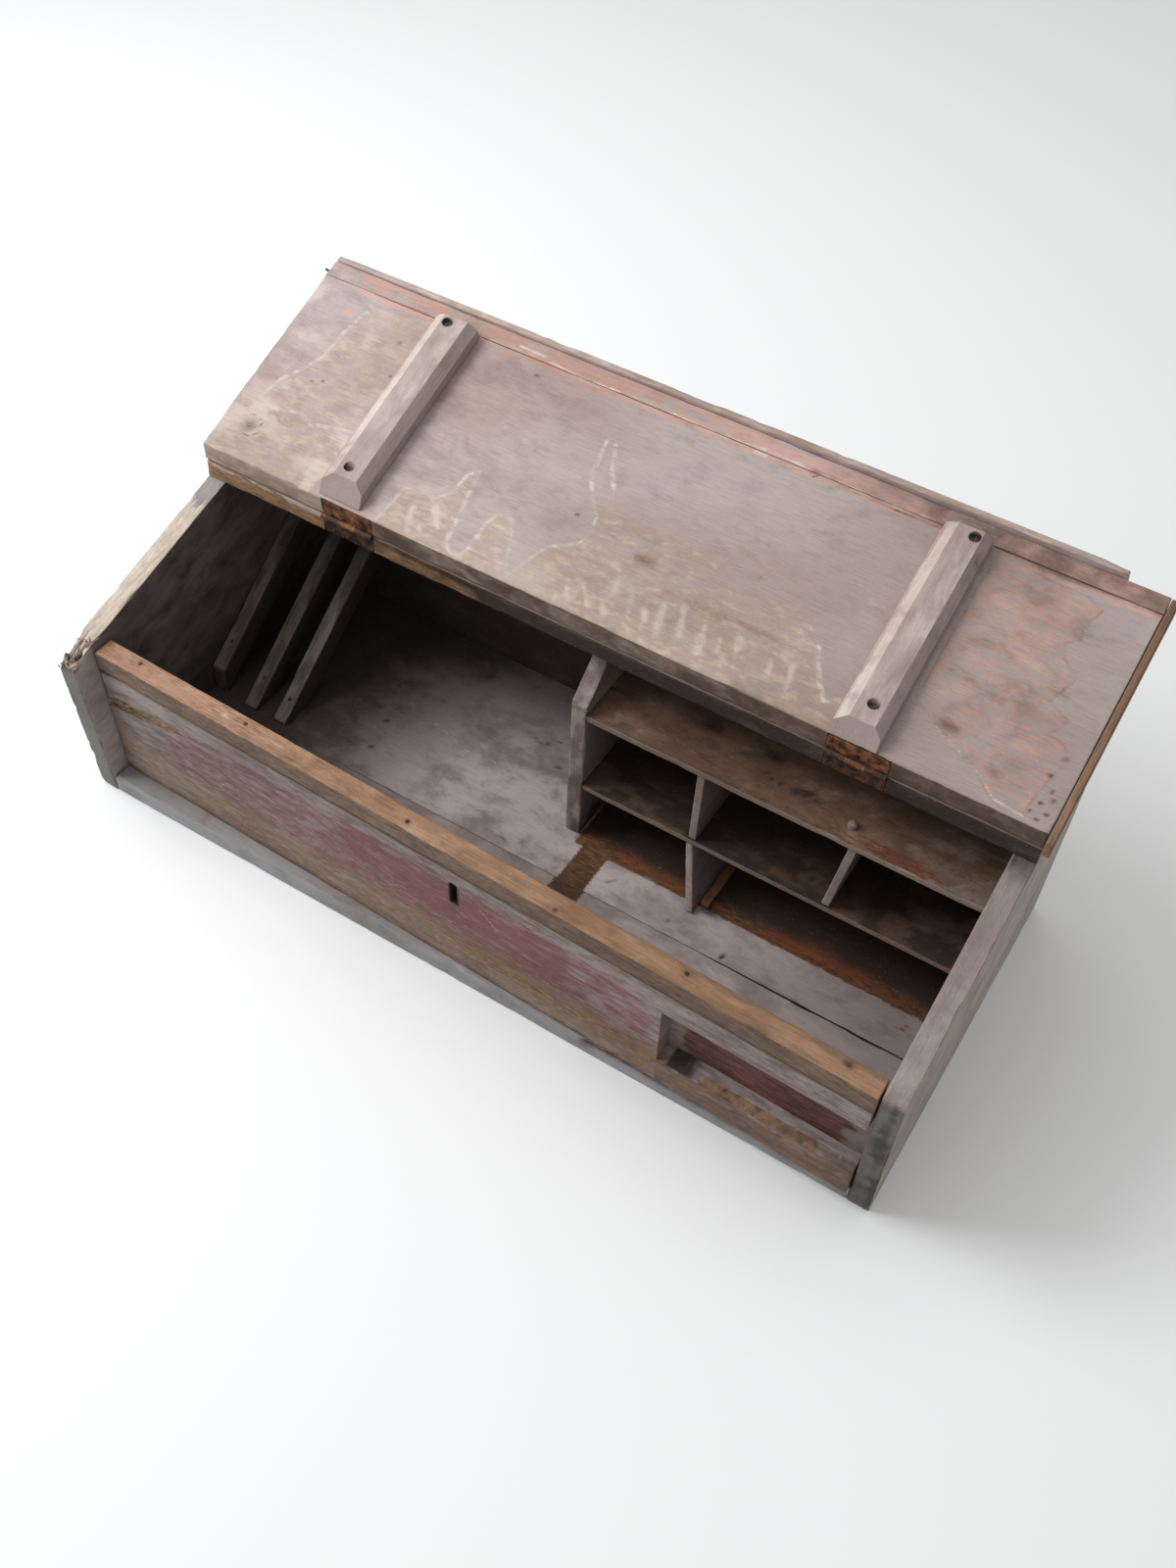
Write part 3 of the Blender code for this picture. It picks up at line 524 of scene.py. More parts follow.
floorMarks = {  # chest-frame millimetres
    "ghost": ((457, 60), (487, 196)), "bare": ((447, 188), (845, 370)),
    "specks": [(252, 329), (181, 225), (200, 213), (326, 228), (388, 237), (352, 246), (316, 190), (208, 175),
               (573, 154), (552, 170), (615, 131), (619, 128), (628, 131), (793, 163), (505, 166), (500, 164),
               (340, 345)],
    "stains": [((287, 320), (7, 4)), ((306, 345), (6, 3)), ((382, 258), (6, 5)), ((378, 187), (4, 3)),
               ((404, 179), (5, 3)), ((181, 153), (9, 2.5)), ((424, 178), (4, 5)), ((450, 178), (5, 3)),
               ((444, 158), (9, 3)), ((350, 281), (13, 4)), ((368, 291), (8, 4)), ((340, 225), (7, 3)),
               ((302, 175), (2, 4)), ((812, 170), (9, 4)), ((410, 200), (30, 9))],
    "scratches": [[(345, 166), (382, 168)], [(372, 152), (392, 150), (426, 158)], [(345, 190), (344, 178)],
                  [(420, 148), (427, 160)], [(355, 145), (370, 146)], [(776, 150), (782, 160)]],
    "pale": [[(242, 240), (275, 230), (322, 220)]], "hole": (635, 147.5), "seam": [(640, 139.5), (838, 139.5)],
}


# mm in the chest frame: left end of the bottom boards, front edge of the back one
bottomLeft, bottomSeam = 20.8, 140.0


def floorPaint(frontY):  # floor marks of one bottom board, which starts at depth frontY in mm
    def paint(p, out):
        x, y = p[:, 0] + bottomLeft, p[:, 1] + frontY
        up = out[:, 2] > 0.5
        ghost = patch(x, y, *floorMarks["ghost"], 1.2)
        brown = patch(x, y, *floorMarks["bare"], 1.5) * (y >= floorMarks["bare"][0][1]) + ghost
        dirtAndShade = (sum(spot(x, y, at, (1.7, 1.5)) for at in floorMarks["specks"])
                + 1.6 * spot(x, y, floorMarks["hole"], (2.2, 3.0)))
        # darker towards the back wall: painted shade; darker towards the left: partly dirt and partly painted
        # shadow cast by the left end
        dirtAndShade = (dirtAndShade + 0.5 * smooth(280, 363, y) + smooth(330, 90, x) * (y > 25)
                + 0.55 * ghost * smooth(185, 130, y) + 0.12 * spot(x, y, (575, 150), (26, 14))
                + 0.25 * smooth(640, 840, x) * (y < 188))
        # the bare floor under the pigeonholes is darkened from 204 mm back: painted shade
        dirtAndShade = dirtAndShade + 1.1 * patch(x, y, (447, 204), (845, 370), 18) * brown + 0.7 * spot(x, y, (602, 186), (14, 5))
        red = sum(0.75 * spot(x, y, at, span) * flaked(p, (8, 3, 5), 60, 0.35, 0.6)
                  for at, span in floorMarks["stains"])
        red = red + 0.75 * patch(x, y, (490, 190), (842, 226), 10) * flaked(p, (70, 26, 20), 61, 0.36, 0.58)
        frontFace, toe = out[:, 1] < -0.3, (y < 22) * up
        split = smooth(570, 580, x) * smooth(8, 13, p[:, 2])
        dirtAndShade = dirtAndShade * up + (0.55 * split + 0.2) * frontFace + 0.4 * toe * smooth(570, 580, x)
        # the broad pale spot in the middle of the floor is a painted pool of light
        bloomAndLight = (0.9 * frontFace * (1 - split) + 0.62 * toe * smooth(580, 560, x)
                 + 0.75 * up * (y > 140) * spot(x, y, (400, 195), (130, 75)) * (1 - brown))
        return channels(p, dirtAndShade, bloomAndLight, 1.3 * brown * up + 0.9 * split * frontFace,
                        red * up + 0.3 * split * frontFace)
    return paint


def floorLines(frontY):
    def lined(p):
        x, y = p[:, 0] + bottomLeft, p[:, 1] + frontY
        under = 20 * (p[:, 2] < 10)  # keeps the lines off the underside
        crack = np.minimum(nearest(x, y, floorMarks["scratches"]) + 0.3, reach(x, y, floorMarks["seam"]) + 0.6)
        return borders(p, crack=crack + under, scratch=nearest(x, y, floorMarks["pale"]) + under)
    return lined


def floorTight(seamLocal):  # the seam between the bottom boards is close, least at the right
    return lambda p: smooth(6, 2, np.abs(p[:, 1] - seamLocal)) * smooth(660, 600, p[:, 0] + bottomLeft)


def frontLedgeCuts(p, out):  # the front of the bottom has split away on the right, with a stepped break
    x = p[:, 0] + bottomLeft
    broken = (smooth(568, 580, x + 5 * (cloud(p, (8, 5, 5), 63) - 0.5))
              * smooth(6, 14, p[:, 2] + 3 * cloud(p, (50, 6, 6), 64)))
    chips = spot(x, p[:, 2], (432, 18), (7, 5)) + spot(x, p[:, 2], (425, 4), (5, 4))
    return (7.0 * broken + 3.0 * chips) * (out[:, 1] < -0.3)


size, place = boxPlace("bottom_front_board", (0, 1, 2))
wornBoard("wornBottomFront", "bottom_front_board", size, place, finish="toe", step=0.0042,
          chip=0.002, seed=7, cuts=frontLedgeCuts, paint=floorPaint(0.0), lined=floorLines(0.0),
          tight=floorTight(139.7), lines=(np.arange(540, 580, 1.5), (), ()))
size, place = boxPlace("bottom_back_board", (0, 1, 2))
wornBoard("wornBottomBack", "bottom_back_board", size, place, finish="bottom", step=0.0042,
          arris=0.0008, chip=0.0005, seed=8, paint=floorPaint(bottomSeam), lined=floorLines(bottomSeam),
          tight=floorTight(0.0))


def backPlace(a, b, c):  # along = length, across = height up to the sloping top, through = inner face to outer face
    y = chest["backInside"] + c
    return inCase(chest["endThick"] + chest["gap"] + a, y, b / endTop(chest["depth"]) * endTop(y))


def backPaint(p, out):
    # painted shade: the inner face is darkened all over
    return channels(p, 0.85 * (out[:, 2] < -0.5), bare=0.15)


size = (chest["length"] - 2 * (chest["endThick"] + chest["gap"]), endTop(chest["depth"]), chest["backThick"])
wornBoard("wornBack", "back_board", size, backPlace, step=0.007, seed=11, paint=backPaint)

# where the hinge leaves are let into the board edges, in mm: middles, least and full half width, depth
gain = {"mids": (171.2, 695.0), "half": (28.5, 29.1), "deep": 2.3}
gainLines = [m + s * h for m in gain["mids"] for s in (-1, 1) for h in gain["half"]]


def gainDepth(a):
    return sum(gain["deep"] * smooth(gain["half"][1], gain["half"][0], np.abs(a - m)) for m in gain["mids"])


# along = length, across = run from the hinge line back, through = thickness; edges plumb
def fixedTopPlace(a, b, c):
    y = chest["hingeLineY"] + b
    return inCase(a, y, endTop(y) + chest["gap"] + c / cosS)


def fixedTopPaint(p, out):
    a, b, c = p.T
    edge = smooth(0.4, 0.8, -out[:, 1])
    tan = smooth(345, 300, a)
    flaky = smooth(12, 16, c) * flaked(p, (22, 5, 5), 73, 0.42, 0.55)
    groove = (smooth(4, 1.5, np.abs(c - 11 - 3 * (cloud(p, (40, 5, 5), 74) - 0.5))) * smooth(470, 500, a)
              * smooth(645, 620, a))
    dark = (smooth(300, 345, a) * smooth(500, 460, a)
            + 0.5 * smooth(500, 460, a) * smooth(195, 205, a) * smooth(12, 14, c))
    # painted shade on the underside; the other marks are on the front edge
    dirtAndShade = (0.6 * (out[:, 2] < -0.6)
            + edge * (0.85 * dark + 0.8 * groove + 0.25 * smooth(330, 400, a) + 0.45 * smooth(140, 330, a) + 0.1
                      + 0.3 * smooth(330, 400, a) * flaked(p, (34, 7, 6), 75, 0.38, 0.6)))
    return channels(p, dirtAndShade, 0.75 * edge * flaky * (1 - groove), 0.9 * edge * tan,
                    0.35 * edge * flaked(p, (60, 6, 6), 72, 0.5, 0.65) * smooth(300, 360, a))


size = (chest["length"], chest["depth"] - chest["hingeLineY"], chest["boardThick"])
wornBoard("wornFixedTop", "fixed_top_board", size, fixedTopPlace, finish="rail", step=0.0042,
          chip=0.0012, seed=13, lines=(gainLines, (), ()), paint=fixedTopPaint,
          cuts=lambda p, out: gainDepth(p[:, 0]) * (out[:, 1] < -0.5))
print("case boards made")

# front board, and the strip nailed on its top edge
front = {"at": (0.0205, 0.018, 0.0203), "lean": math.radians(1.6), "skew": math.radians(1.74), "thick": 0.022,
         "tall": 0.141, "stripTop": 0.1635, "endGap": 0.0007,
         "keyhole": (412.8, 95.0, 119.0, 4.0), "recess": (626.8, 34.5, 37.5, 111.5, 19.5),
         "scar": [(2, 92), (20, 95), (55, 100), (95, 110), (92, 114), (60, 113), (20, 110), (3, 106)],
         "nails": [(45, 14.5), (173, 14), (360, 9), (516, 5), (638, 14), (784, 15)]}
frontLength = (chest["length"] - 2 * chest["endThick"] - front["thick"] * math.sin(front["skew"])
               - 2 * front["endGap"])
frontTurn = np.array(Euler((front["lean"], 0.0, -front["skew"])).to_matrix())
keyX, keyLow, keyHigh, keyHalf = front["keyhole"]
recessLeft, lipFront, lipBack, recessTop, recessDeep = front["recess"]


# along = length, across = height, through = front face to back face, in the leaning and skewed front frame
def frontPlace(foot):
    def place(a, b, c):
        local = np.stack([front["endGap"] + a, c, foot + b], -1) @ frontTurn.T + front["at"]
        return inCase(*local.T)
    return place


# the finger recess carries the front face back to its wall, above a sloping lower lip
def frontBoardPlace(a, b, c):
    x, z = a * 1000, b * 1000
    depth = np.clip((z - lipFront) / (lipBack - lipFront), 0, 1) * (z < recessTop) * (x > recessLeft)
    depth = depth * recessDeep / 1000
    return frontPlace(0.0)(a, b, np.where(c < depth, depth + 0.02 * c, c))


def inKeyhole(a, b, grow):  # slot with a round head
    return (np.hypot(a - keyX, np.maximum(b - keyHigh, 0)) < keyHalf + grow) & (b > keyLow - grow)


def frontCuts(p, out):  # the keyhole, and the wood torn out at the left
    a, b, c = p.T
    scar = 2.2 * smooth(1, -4, inOutline(a, b, front["scar"])) * flaked(p, (30, 2.2, 3), 83, 0.35, 0.6)
    return np.where(inKeyhole(a, b, 0.0), 20.0, scar) * (out[:, 2] < -0.6)


def frontPaint(p, out):
    a, b, c = p.T
    face = smooth(0.3, 0.5, -out[:, 2])
    right = a > recessLeft
    wall, ledge, low = (right * (b > lipBack) * (b < recessTop), right * (b > lipFront) * (b <= lipBack),
                        right * (b <= lipFront))
    flat = 1 - right * (b < recessTop)
    back = np.clip((b - lipFront) / (lipBack - lipFront), 0, 1)
    ragged = cloud(p, (16, 7, 8), 87) - 0.5
    flecks = flaked(p, (17, 3.4, 20), 80, 0.46, 0.62)
    redWall = (wall * smooth(640, 650, a + 18 * ragged) * smooth(806, 788, a + 30 * ragged)
               * smooth(108, 98, b + 26 * ragged) * (1 - patch(a, b, (702, 104), (712, 114), 1.5)))
    scar = smooth(1, -2, inOutline(a, b, front["scar"]))
    maroon = (0.52 * patch(a, b, (70, 42), (626, 128), 18)
              + 0.27 * patch(a, b, (290, 62), (612, 122), 14) * flaked(p, (90, 12, 20), 82, 0.28, 0.5))
    yellow = patch(a, b, (255, 28), (640, 50), 5) * flaked(p, (80, 6, 8), 89, 0.35, 0.55)
    orange = (ledge * (back < 0.55) * smooth(664, 674, a) * smooth(790, 776, a)
              + low * spot(a, b, (720, 12), (80, 9)) * flecks)
    # the left end is darker, partly dirt and partly painted shade beside the left end board; the recess wall is
    # darker, partly its dark red paint and partly painted shade; the ledge's left end is painted shade
    dirtAndShade = (flat * (0.4 * smooth(30, 0, a) + 0.14 * smooth(60, 20, b) * flecks + 0.3 * smooth(10, 1, b))
            + 0.52 * redWall + 0.25 * wall * (1 - redWall) + 0.45 * low * (1 - flecks)
            + 0.5 * flat * smooth(137, 140, b) + 0.75 * ledge * smooth(668, 655, a) * (a > 636))
    # the keyhole and a 1.2 mm ring round it are near black: painted shade in the slot, reaching past its edge so
    # that the walls take it
    dirtAndShade = dirtAndShade + 2 * inKeyhole(a, b, 1.2) + 0.4 * spot(a, b, (keyX, 90), (7, 8))
    bloomAndLight = (flat * (0.25 * smooth(112, 128, b) + 0.25 * patch(a, b, (535, 50), (628, 125), 14)
                     + 0.12 * smooth(20, 80, b) + 0.2 * smooth(330, 60, a) + 0.16 * flecks)
             + 0.45 * wall * (1 - redWall) + 0.8 * ledge * (back > 0.5) + 0.2 * low)
    bare = (flat * (0.42 * smooth(72, 44, b) + 0.35 * yellow + 0.2 * flecks) + 0.5 * low + orange + 1.4 * scar
            + 1.3 * redWall)
    red = flat * maroon * (1 - scar) + 0.32 * low + 0.3 * orange + 0.72 * redWall
    return channels(p, dirtAndShade * face, bloomAndLight * face * (1 - scar), bare * face, red * face)


# torn lower edge of the scar and a groove along the grain; pale fresh wood in the scar and one scratch
def frontLines(p):
    a, b, c = p.T
    crack = nearest(a, b, [front["scar"][:4], [(268, 27.5), (360, 27), (440, 28), (522, 27.5)],
                           [(96, 111), (118, 114)]])
    scratch = nearest(a, b, [[(441, 108), (459, 90)], [(24, 104), (60, 108), (90, 112)]])
    return borders(p, crack=np.where(c < 6, crack, 20), scratch=np.where(c < 6, scratch, 20))


closeAlong = np.concatenate([  # grid lines lie closer at the recess, the keyhole and the torn place
    recessLeft + np.array([-0.9, -0.2, 0.2, 0.9]), np.arange(keyX - 5, keyX + 5.1, 0.5), np.arange(0, 100, 1.6)])
closeAcross = np.concatenate([
    np.arange(lipFront, lipBack + 0.1, 0.25), [lipBack + 0.7, lipBack + 2, recessTop - 0.2, recessTop + 0.2],
    np.arange(keyLow - 5, keyHigh + 6, 0.75)])
wornBoard("wornFrontBoard", "front_board", (frontLength, front["tall"], front["thick"]), frontBoardPlace,
          finish="red_paint", step=0.0032, arris=0.0011, chip=0.0012, seed=17, wave=0.0008,
          lines=(closeAlong, closeAcross, ()), cuts=frontCuts, paint=frontPaint, lined=frontLines)


def stripPaint(p, out):
    a, b, c = p.T
    topFace, frontFace = smooth(0.3, 0.8, out[:, 1]), smooth(0.5, 0.8, -out[:, 2])
    nails = sum(spot(a, c, at, (4.2, 3.6)) for at in front["nails"])
    dirtAndShade = (topFace * (0.75 * nails + 0.3 * flaked(p, (60, 8, 8), 85, 0.56, 0.7)) + 0.3 * (1 - topFace)
            + 0.5 * frontFace * smooth(2.5, 0.5, b) + (0.1 * frontFace + 0.22 * topFace) * smooth(480, 760, a))
    bloomAndLight = topFace * (0.3 * flaked(p, (90, 9, 9), 84, 0.5, 0.66) + 0.6 * spot(a, c, (151, 13), (7, 5)))
    return channels(p, dirtAndShade, bloomAndLight, 1.2 * frontFace, 0.5 * topFace * smooth(430, 150, a))


size = (frontLength, front["stripTop"] - front["tall"] - chest["gap"], front["thick"])
wornBoard("wornFrontStrip", "front_top_strip", size, frontPlace(front["tall"] + chest["gap"]),
          finish="bare_pine", step=0.004, arris=0.0014, chip=0.0018, seed=19, paint=stripPaint)
print("front made")


# along = length, across = u from the hinge edge to the front, through = inner face to outer face; edges plumb
def lidPlace(startU):
    def place(a, b, c):
        y = lidBackY - (startU + b) * cosS
        return inLid(a, y, endTop(y) + chest["gap"] + c / cosS)
    return place


lidMarks = {  # (x, u) millimetres on the inner face
    "knot": (33, 38),
    "hinge": [(203, -4), (206, 22), (210, 44), (222, 50), (240, 46), (252, 58), (256, 82), (264, 88), (268, 62),
              (273, 34), (276, 14), (281, 7), (288, 5), (295, 7), (298, 18), (299, 45), (303, 57), (312, 61),
              (319, 58), (326, 46), (333, 28), (341, 12), (345, 8), (349, 17), (356, 36), (364, 50),
              (378, 58), (388, 66), (391, 80), (387, 94), (372, 112), (360, 130), (354, 172), (362, 172),
              (376, 140), (392, 118), (420, 112), (455, 122), (500, 128), (545, 130), (575, 118), (600, 100),
              (618, 78), (626, 60), (638, 40), (650, 25), (660, 30), (668, 38), (668, -4)],
    "left": [(22, 66), (30, 95), (44, 115), (54, 135), (57, 165), (62, 190), (72, 206), (134, 208), (134, 75),
             (88, 64), (70, 70), (40, 62)],
    "right": [(716, 60), (742, 46), (765, 33), (786, 25), (803, 11), (815, 5), (834, 8), (838, 30), (842, 52),
              (846, 64), (838, 76), (822, 79), (830, 88), (832, 97), (812, 105), (818, 118), (822, 134),
              (806, 146), (800, 160), (812, 166), (809, 182), (816, 200), (800, 206), (740, 210), (716, 212)],
    "cracks": [[(20, 40), (27, 28), (38, 26), (45, 34), (42, 46), (30, 50), (20, 44)],
               [(26, 38), (36, 34), (40, 42)], [(529, 222), (540, 212), (549, 221)], [(60, 217), (135, 217)],
               [(712, 217), (860, 217)], [(252, 203), (262, 201)], [(580, 214), (660, 213)]],
    "pale": [[(742, 45), (770, 32), (790, 23), (808, 9), (835, 6)], [(60, 206), (75, 196)],
             [(195, 219), (250, 221), (300, 217), (372, 220), (441, 216), (499, 221), (560, 217), (655, 218)],
             [(225, 224), (260, 224)]],
    "strokes": [[(228, 30), (236, 8)], [(240, 20), (252, 6)], [(247, 38), (262, 18)], [(385, 23), (398, 7)],
                [(393, 30), (406, 12)], [(411, 31), (425, 14)], [(427, 34), (443, 12)], [(433, 56), (443, 29)],
                [(453, 44), (463, 15)], [(472, 36), (480, 14)], [(485, 46), (493, 14)], [(502, 50), (512, 24)],
                [(527, 42), (534, 16)], [(545, 36), (551, 16)], [(560, 44), (567, 18)], [(590, 52), (597, 24)],
                [(612, 40), (618, 16)]],
    "ochre": [((552, 57), (52, 2.5)), ((452, 75), (12, 4)), ((752, 51), (8, 5)), ((845, 65), (4, 3))],
    "specks": [(370, 89), (60, 105), (70, 110), (115, 178), (128, 142), (257, 202), (847, 35), (851, 15),
               (840, 47), (843, 22), (851, 28), (838, 12), (846, 8)],
}


def lidPaint(startU):
    def paint(p, out):
        a, u = p[:, 0], p[:, 1] + startU
        inner = smooth(0.3, 0.6, -out[:, 2])
        edge = smooth(0.3, 0.6, -out[:, 1])
        ragged = 9 * (cloud(p, (14, 12, 20), 31) - 0.5)
        stain, left, right = (smooth(3, -3, inOutline(a, u, lidMarks[key]) + ragged)
                              for key in ("hinge", "left", "right"))
        corner = patch(a, u, (-20, -20), (132, 65), 6)
        mottle = flaked(p, (24, 18, 20), 32, 0.36, 0.62)
        pink = smooth(207, 214, u + 0.5 * ragged) * smooth(25, 50, a) * flaked(p, (40, 9, 20), 33, 0.22, 0.45)
        stain = stain * smooth(150, 40, u)
        drips = sum(trail(a, u, stroke, 3.4) for stroke in lidMarks["strokes"])
        drips = drips * flaked(p, (11, 11, 20), 35, 0.3, 0.55)
        ghost = patch(a, u, (138, 215), (184, 240), 0.8) + patch(a, u, (666, 215), (710, 240), 0.8)
        ochre = sum(spot(a, u, at, span) for at, span in lidMarks["ochre"])
        specks = sum(spot(a, u, at, (2.0, 1.6)) for at in lidMarks["specks"])
        knot = spot(a, u, lidMarks["knot"], (9, 9)) + spot(a, u, (540, 218), (6, 3))
        # the two terms that grow along a from 190 mm and from 520 mm are painted shade where the light falls off;
        # the rest are specks, knots and stains
        dirtAndShade = (0.85 * specks + 0.4 * knot + 0.2 * ochre + 0.06 * right + 0.25 * smooth(4, 0, u)
                + 0.2 * smooth(190, 420, a) + 0.05 * smooth(520, 740, a)
                + 0.35 * smooth(211, 216, u) * smooth(540, 700, a))
        bloomAndLight = (0.35 * patch(a, u, (190, 212), (660, 223), 2) * mottle + 0.65 * drips
                 + mottle * (0.3 * stain + 0.45 * corner + 0.3 * left + 0.3 * smooth(830, 850, a))
                 + 0.7 * patch(a, u, (115, -5), (130, 35), 5) + 0.6 * patch(a, u, (480, 213), (495, 217), 1.5)
                 + 0.25 * smooth(60, 20, a) + 0.35 * patch(a, u, (637, 89), (661, 128), 5))
        bare = (0.6 * stain + 0.5 * corner + 0.45 * left + right * (0.34 - 0.1 * mottle) + 0.5 * ghost
                + 0.9 * ochre
                + 0.3 * patch(a, u, (200, 85), (665, 132), 10) * flaked(p, (120, 7, 20), 34, 0.4, 0.6)
                + 0.4 * knot)
        red = (0.8 * pink * (1 - ghost) + right * (0.33 + 0.1 * mottle)
               + 0.6 * patch(a, u, (40, 180), (55, 195), 4) + 0.1 * smooth(560, 700, a))
        # painted shade on the hinge edge face, darkest right of 200 mm
        paintedEdgeShade = edge * (0.1 + 0.55 * smooth(140, 200, a) + 0.2 * smooth(600, 700, a))
        return channels(p, dirtAndShade * inner + paintedEdgeShade, bloomAndLight * inner, bare * inner + 1.2 * edge, red * inner)
    return paint


def lidLines(startU):
    def lined(p):
        a, u = p[:, 0], p[:, 1] + startU
        outer = p[:, 2] > 9
        # borders that can hardly be seen
        faint = 14 * patch(a, u, (398, 60), (612, 300), 12) + 14 * patch(a, u, (66, 200), (140, 240), 5)
        pale = np.minimum(np.abs(inOutline(a, u, lidMarks["hinge"])),
                          np.abs(inOutline(a, u, lidMarks["left"]))) + faint
        found = (pale, inOutline(a, u, lidMarks["right"]), nearest(a, u, lidMarks["cracks"]),
                 nearest(a, u, lidMarks["pale"]))
        return borders(p, *(np.where(outer, 20, away) for away in found))
    return lined


def lidCuts(p, out):  # the hinge gains, and the knot fallen in
    knot = 0.9 * spot(p[:, 0], p[:, 1], lidMarks["knot"], (9, 8)) * flaked(p, (6, 2.5, 6), 36, 0.45, 0.6)
    return gainDepth(p[:, 0]) * (out[:, 1] < -0.5) + knot * (out[:, 2] < -0.5)


def lidTight(seamLocal):  # the seam between the lid boards is a hairline
    return lambda p: smooth(6, 2, np.abs(p[:, 1] - seamLocal))


seamU = chest["lidDepth"] - chest["lidFrontWide"]
wornBoard("wornLidBoard", "lid_main_board", (chest["length"], seamU, chest["boardThick"]), lidPlace(0.0),
          finish="lid_paint", body="lid", step=0.0023, chip=0.0012, seed=23, lines=(gainLines, (), ()),
          cuts=lidCuts, paint=lidPaint(0.0), lined=lidLines(0.0), tight=lidTight(seamU * 1000))
lidFrontStart = seamU + chest["gap"] / cosS
wornBoard("wornLidFrontBoard", "lid_front_board",
          (chest["length"], chest["lidDepth"] - lidFrontStart, chest["boardThick"]), lidPlace(lidFrontStart),
          finish="lid_paint", body="lid", step=0.0022, arris=0.0009, chip=0.001, seed=24,
          paint=lidPaint(lidFrontStart * 1000), lined=lidLines(lidFrontStart * 1000), tight=lidTight(0.0))

lip = {"thick": 0.0075, "drop": (0.001, 0.005), "length": 0.822, "endRound": 3.0}
lipBackY = lidFrontY - chest["gap"]
lipTall = chest["boardThick"] / cosS + lip["drop"][0]


# along = length, across = height from the foot, which drops towards the right, through = back to front
def lipPlace(a, b, c):
    y = lipBackY - c
    foot = endTop(lipBackY) - lip["drop"][0] - (lip["drop"][1] - lip["drop"][0]) * a / lip["length"]
    return inLid(a, y, foot + b / lipTall * (endTop(y) + chest["boardThick"] / cosS - foot))


def lipPaint(p, out):
    a, b, c = p.T
    foot = out[:, 1] < -0.5
    dirtAndShade = 0.35 * smooth(10, 16, b) * (out[:, 2] < -0.5) + 0.3 * flaked(p, (40, 6, 6), 37, 0.5, 0.7)
    return channels(p, dirtAndShade, 0.2 * foot, 0.9 * foot * flaked(p, (60, 6, 6), 38, 0.35, 0.6), 0.35 * (~foot))


wornBoard("wornLidLip", "lid_front_lip", (lip["length"], lipTall, lip["thick"]), lipPlace, finish="lid_paint",
          body="lid", step=0.004, arris=0.0012, chip=0.0022, seed=26, paint=lipPaint,
          cuts=lambda p, out: lip["endRound"] * np.exp(-np.hypot(lip["length"] * 1000 - p[:, 0], p[:, 1]) / 4))

rightStrip = {"thick": 0.007, "past": 0.006}


# along = from past the hinge edge to the front, across = inner face to outer face, through = thickness
def rightStripPlace(a, b, c):
    y = lidBackY + rightStrip["past"] - a * cosS
    return inLid(chest["length"] + chest["gap"] + c, y, endTop(y) + chest["gap"] + b / cosS)


def rightStripPaint(p, out):
    dirtAndShade = 0.35 + 0.25 * (out[:, 2] > 0.5) + 0.25 * flaked(p, (30, 5, 5), 39, 0.5, 0.7)
    return channels(p, dirtAndShade, bare=0.2, red=0.25 * (out[:, 1] < -0.3))


wornBoard("wornLidRightStrip", "lid_right_strip",
          (chest["lidDepth"] + rightStrip["past"] / cosS, chest["boardThick"], rightStrip["thick"]),
          rightStripPlace, finish="bare_pine", body="lid", step=0.004, arris=0.0016, chip=0.001, seed=28,
          paint=rightStripPaint)


def innerFace(u, x, h):  # a point u from the hinge edge, x along the chest and h off the lid's inner face
    return inLid(x, lidBackY - u * cosS + h * sinS, endTop(lidBackY) + chest["gap"] - u * sinS - h * cosS)


# span along the chest, widths of both chamfers, near end and its slope, and each screw's (u, x), all in metres
batten = {
    "left": {"span": (0.1380, 0.1845), "chamfers": (0.0120, 0.0095), "near": (0.0035, 0.0180),
             "screws": ((0.033, 0.1600), (0.208, 0.1570))},
    "right": {"span": (0.6662, 0.7100), "chamfers": (0.0118, 0.0080), "near": (0.0005, 0.0145),
              "screws": ((0.033, 0.6915), (0.208, 0.6960))},
    "thick": 0.018, "chamferDeep": 0.0075, "farEnd": 0.216, "hole": 5.0, "sunk": 4.2,
}


# along = u, across = width drawn in by the chamfers, through = height; the near end slopes back as it rises
def battenPlace(own):
    low, high = own["span"]
    wide, (nearEnd, nearSlope) = high - low, own["near"]

    def place(a, b, c):
        drawn = np.maximum(c - (batten["thick"] - batten["chamferDeep"]), 0) / batten["chamferDeep"]
        x = low + own["chamfers"][0] * drawn + b / wide * (wide - sum(own["chamfers"]) * drawn)
        u = nearEnd + a + (1 - a / (batten["farEnd"] - nearEnd)) * nearSlope * c / batten["thick"]
        return innerFace(u, x, chest["gap"] + c)
    return place


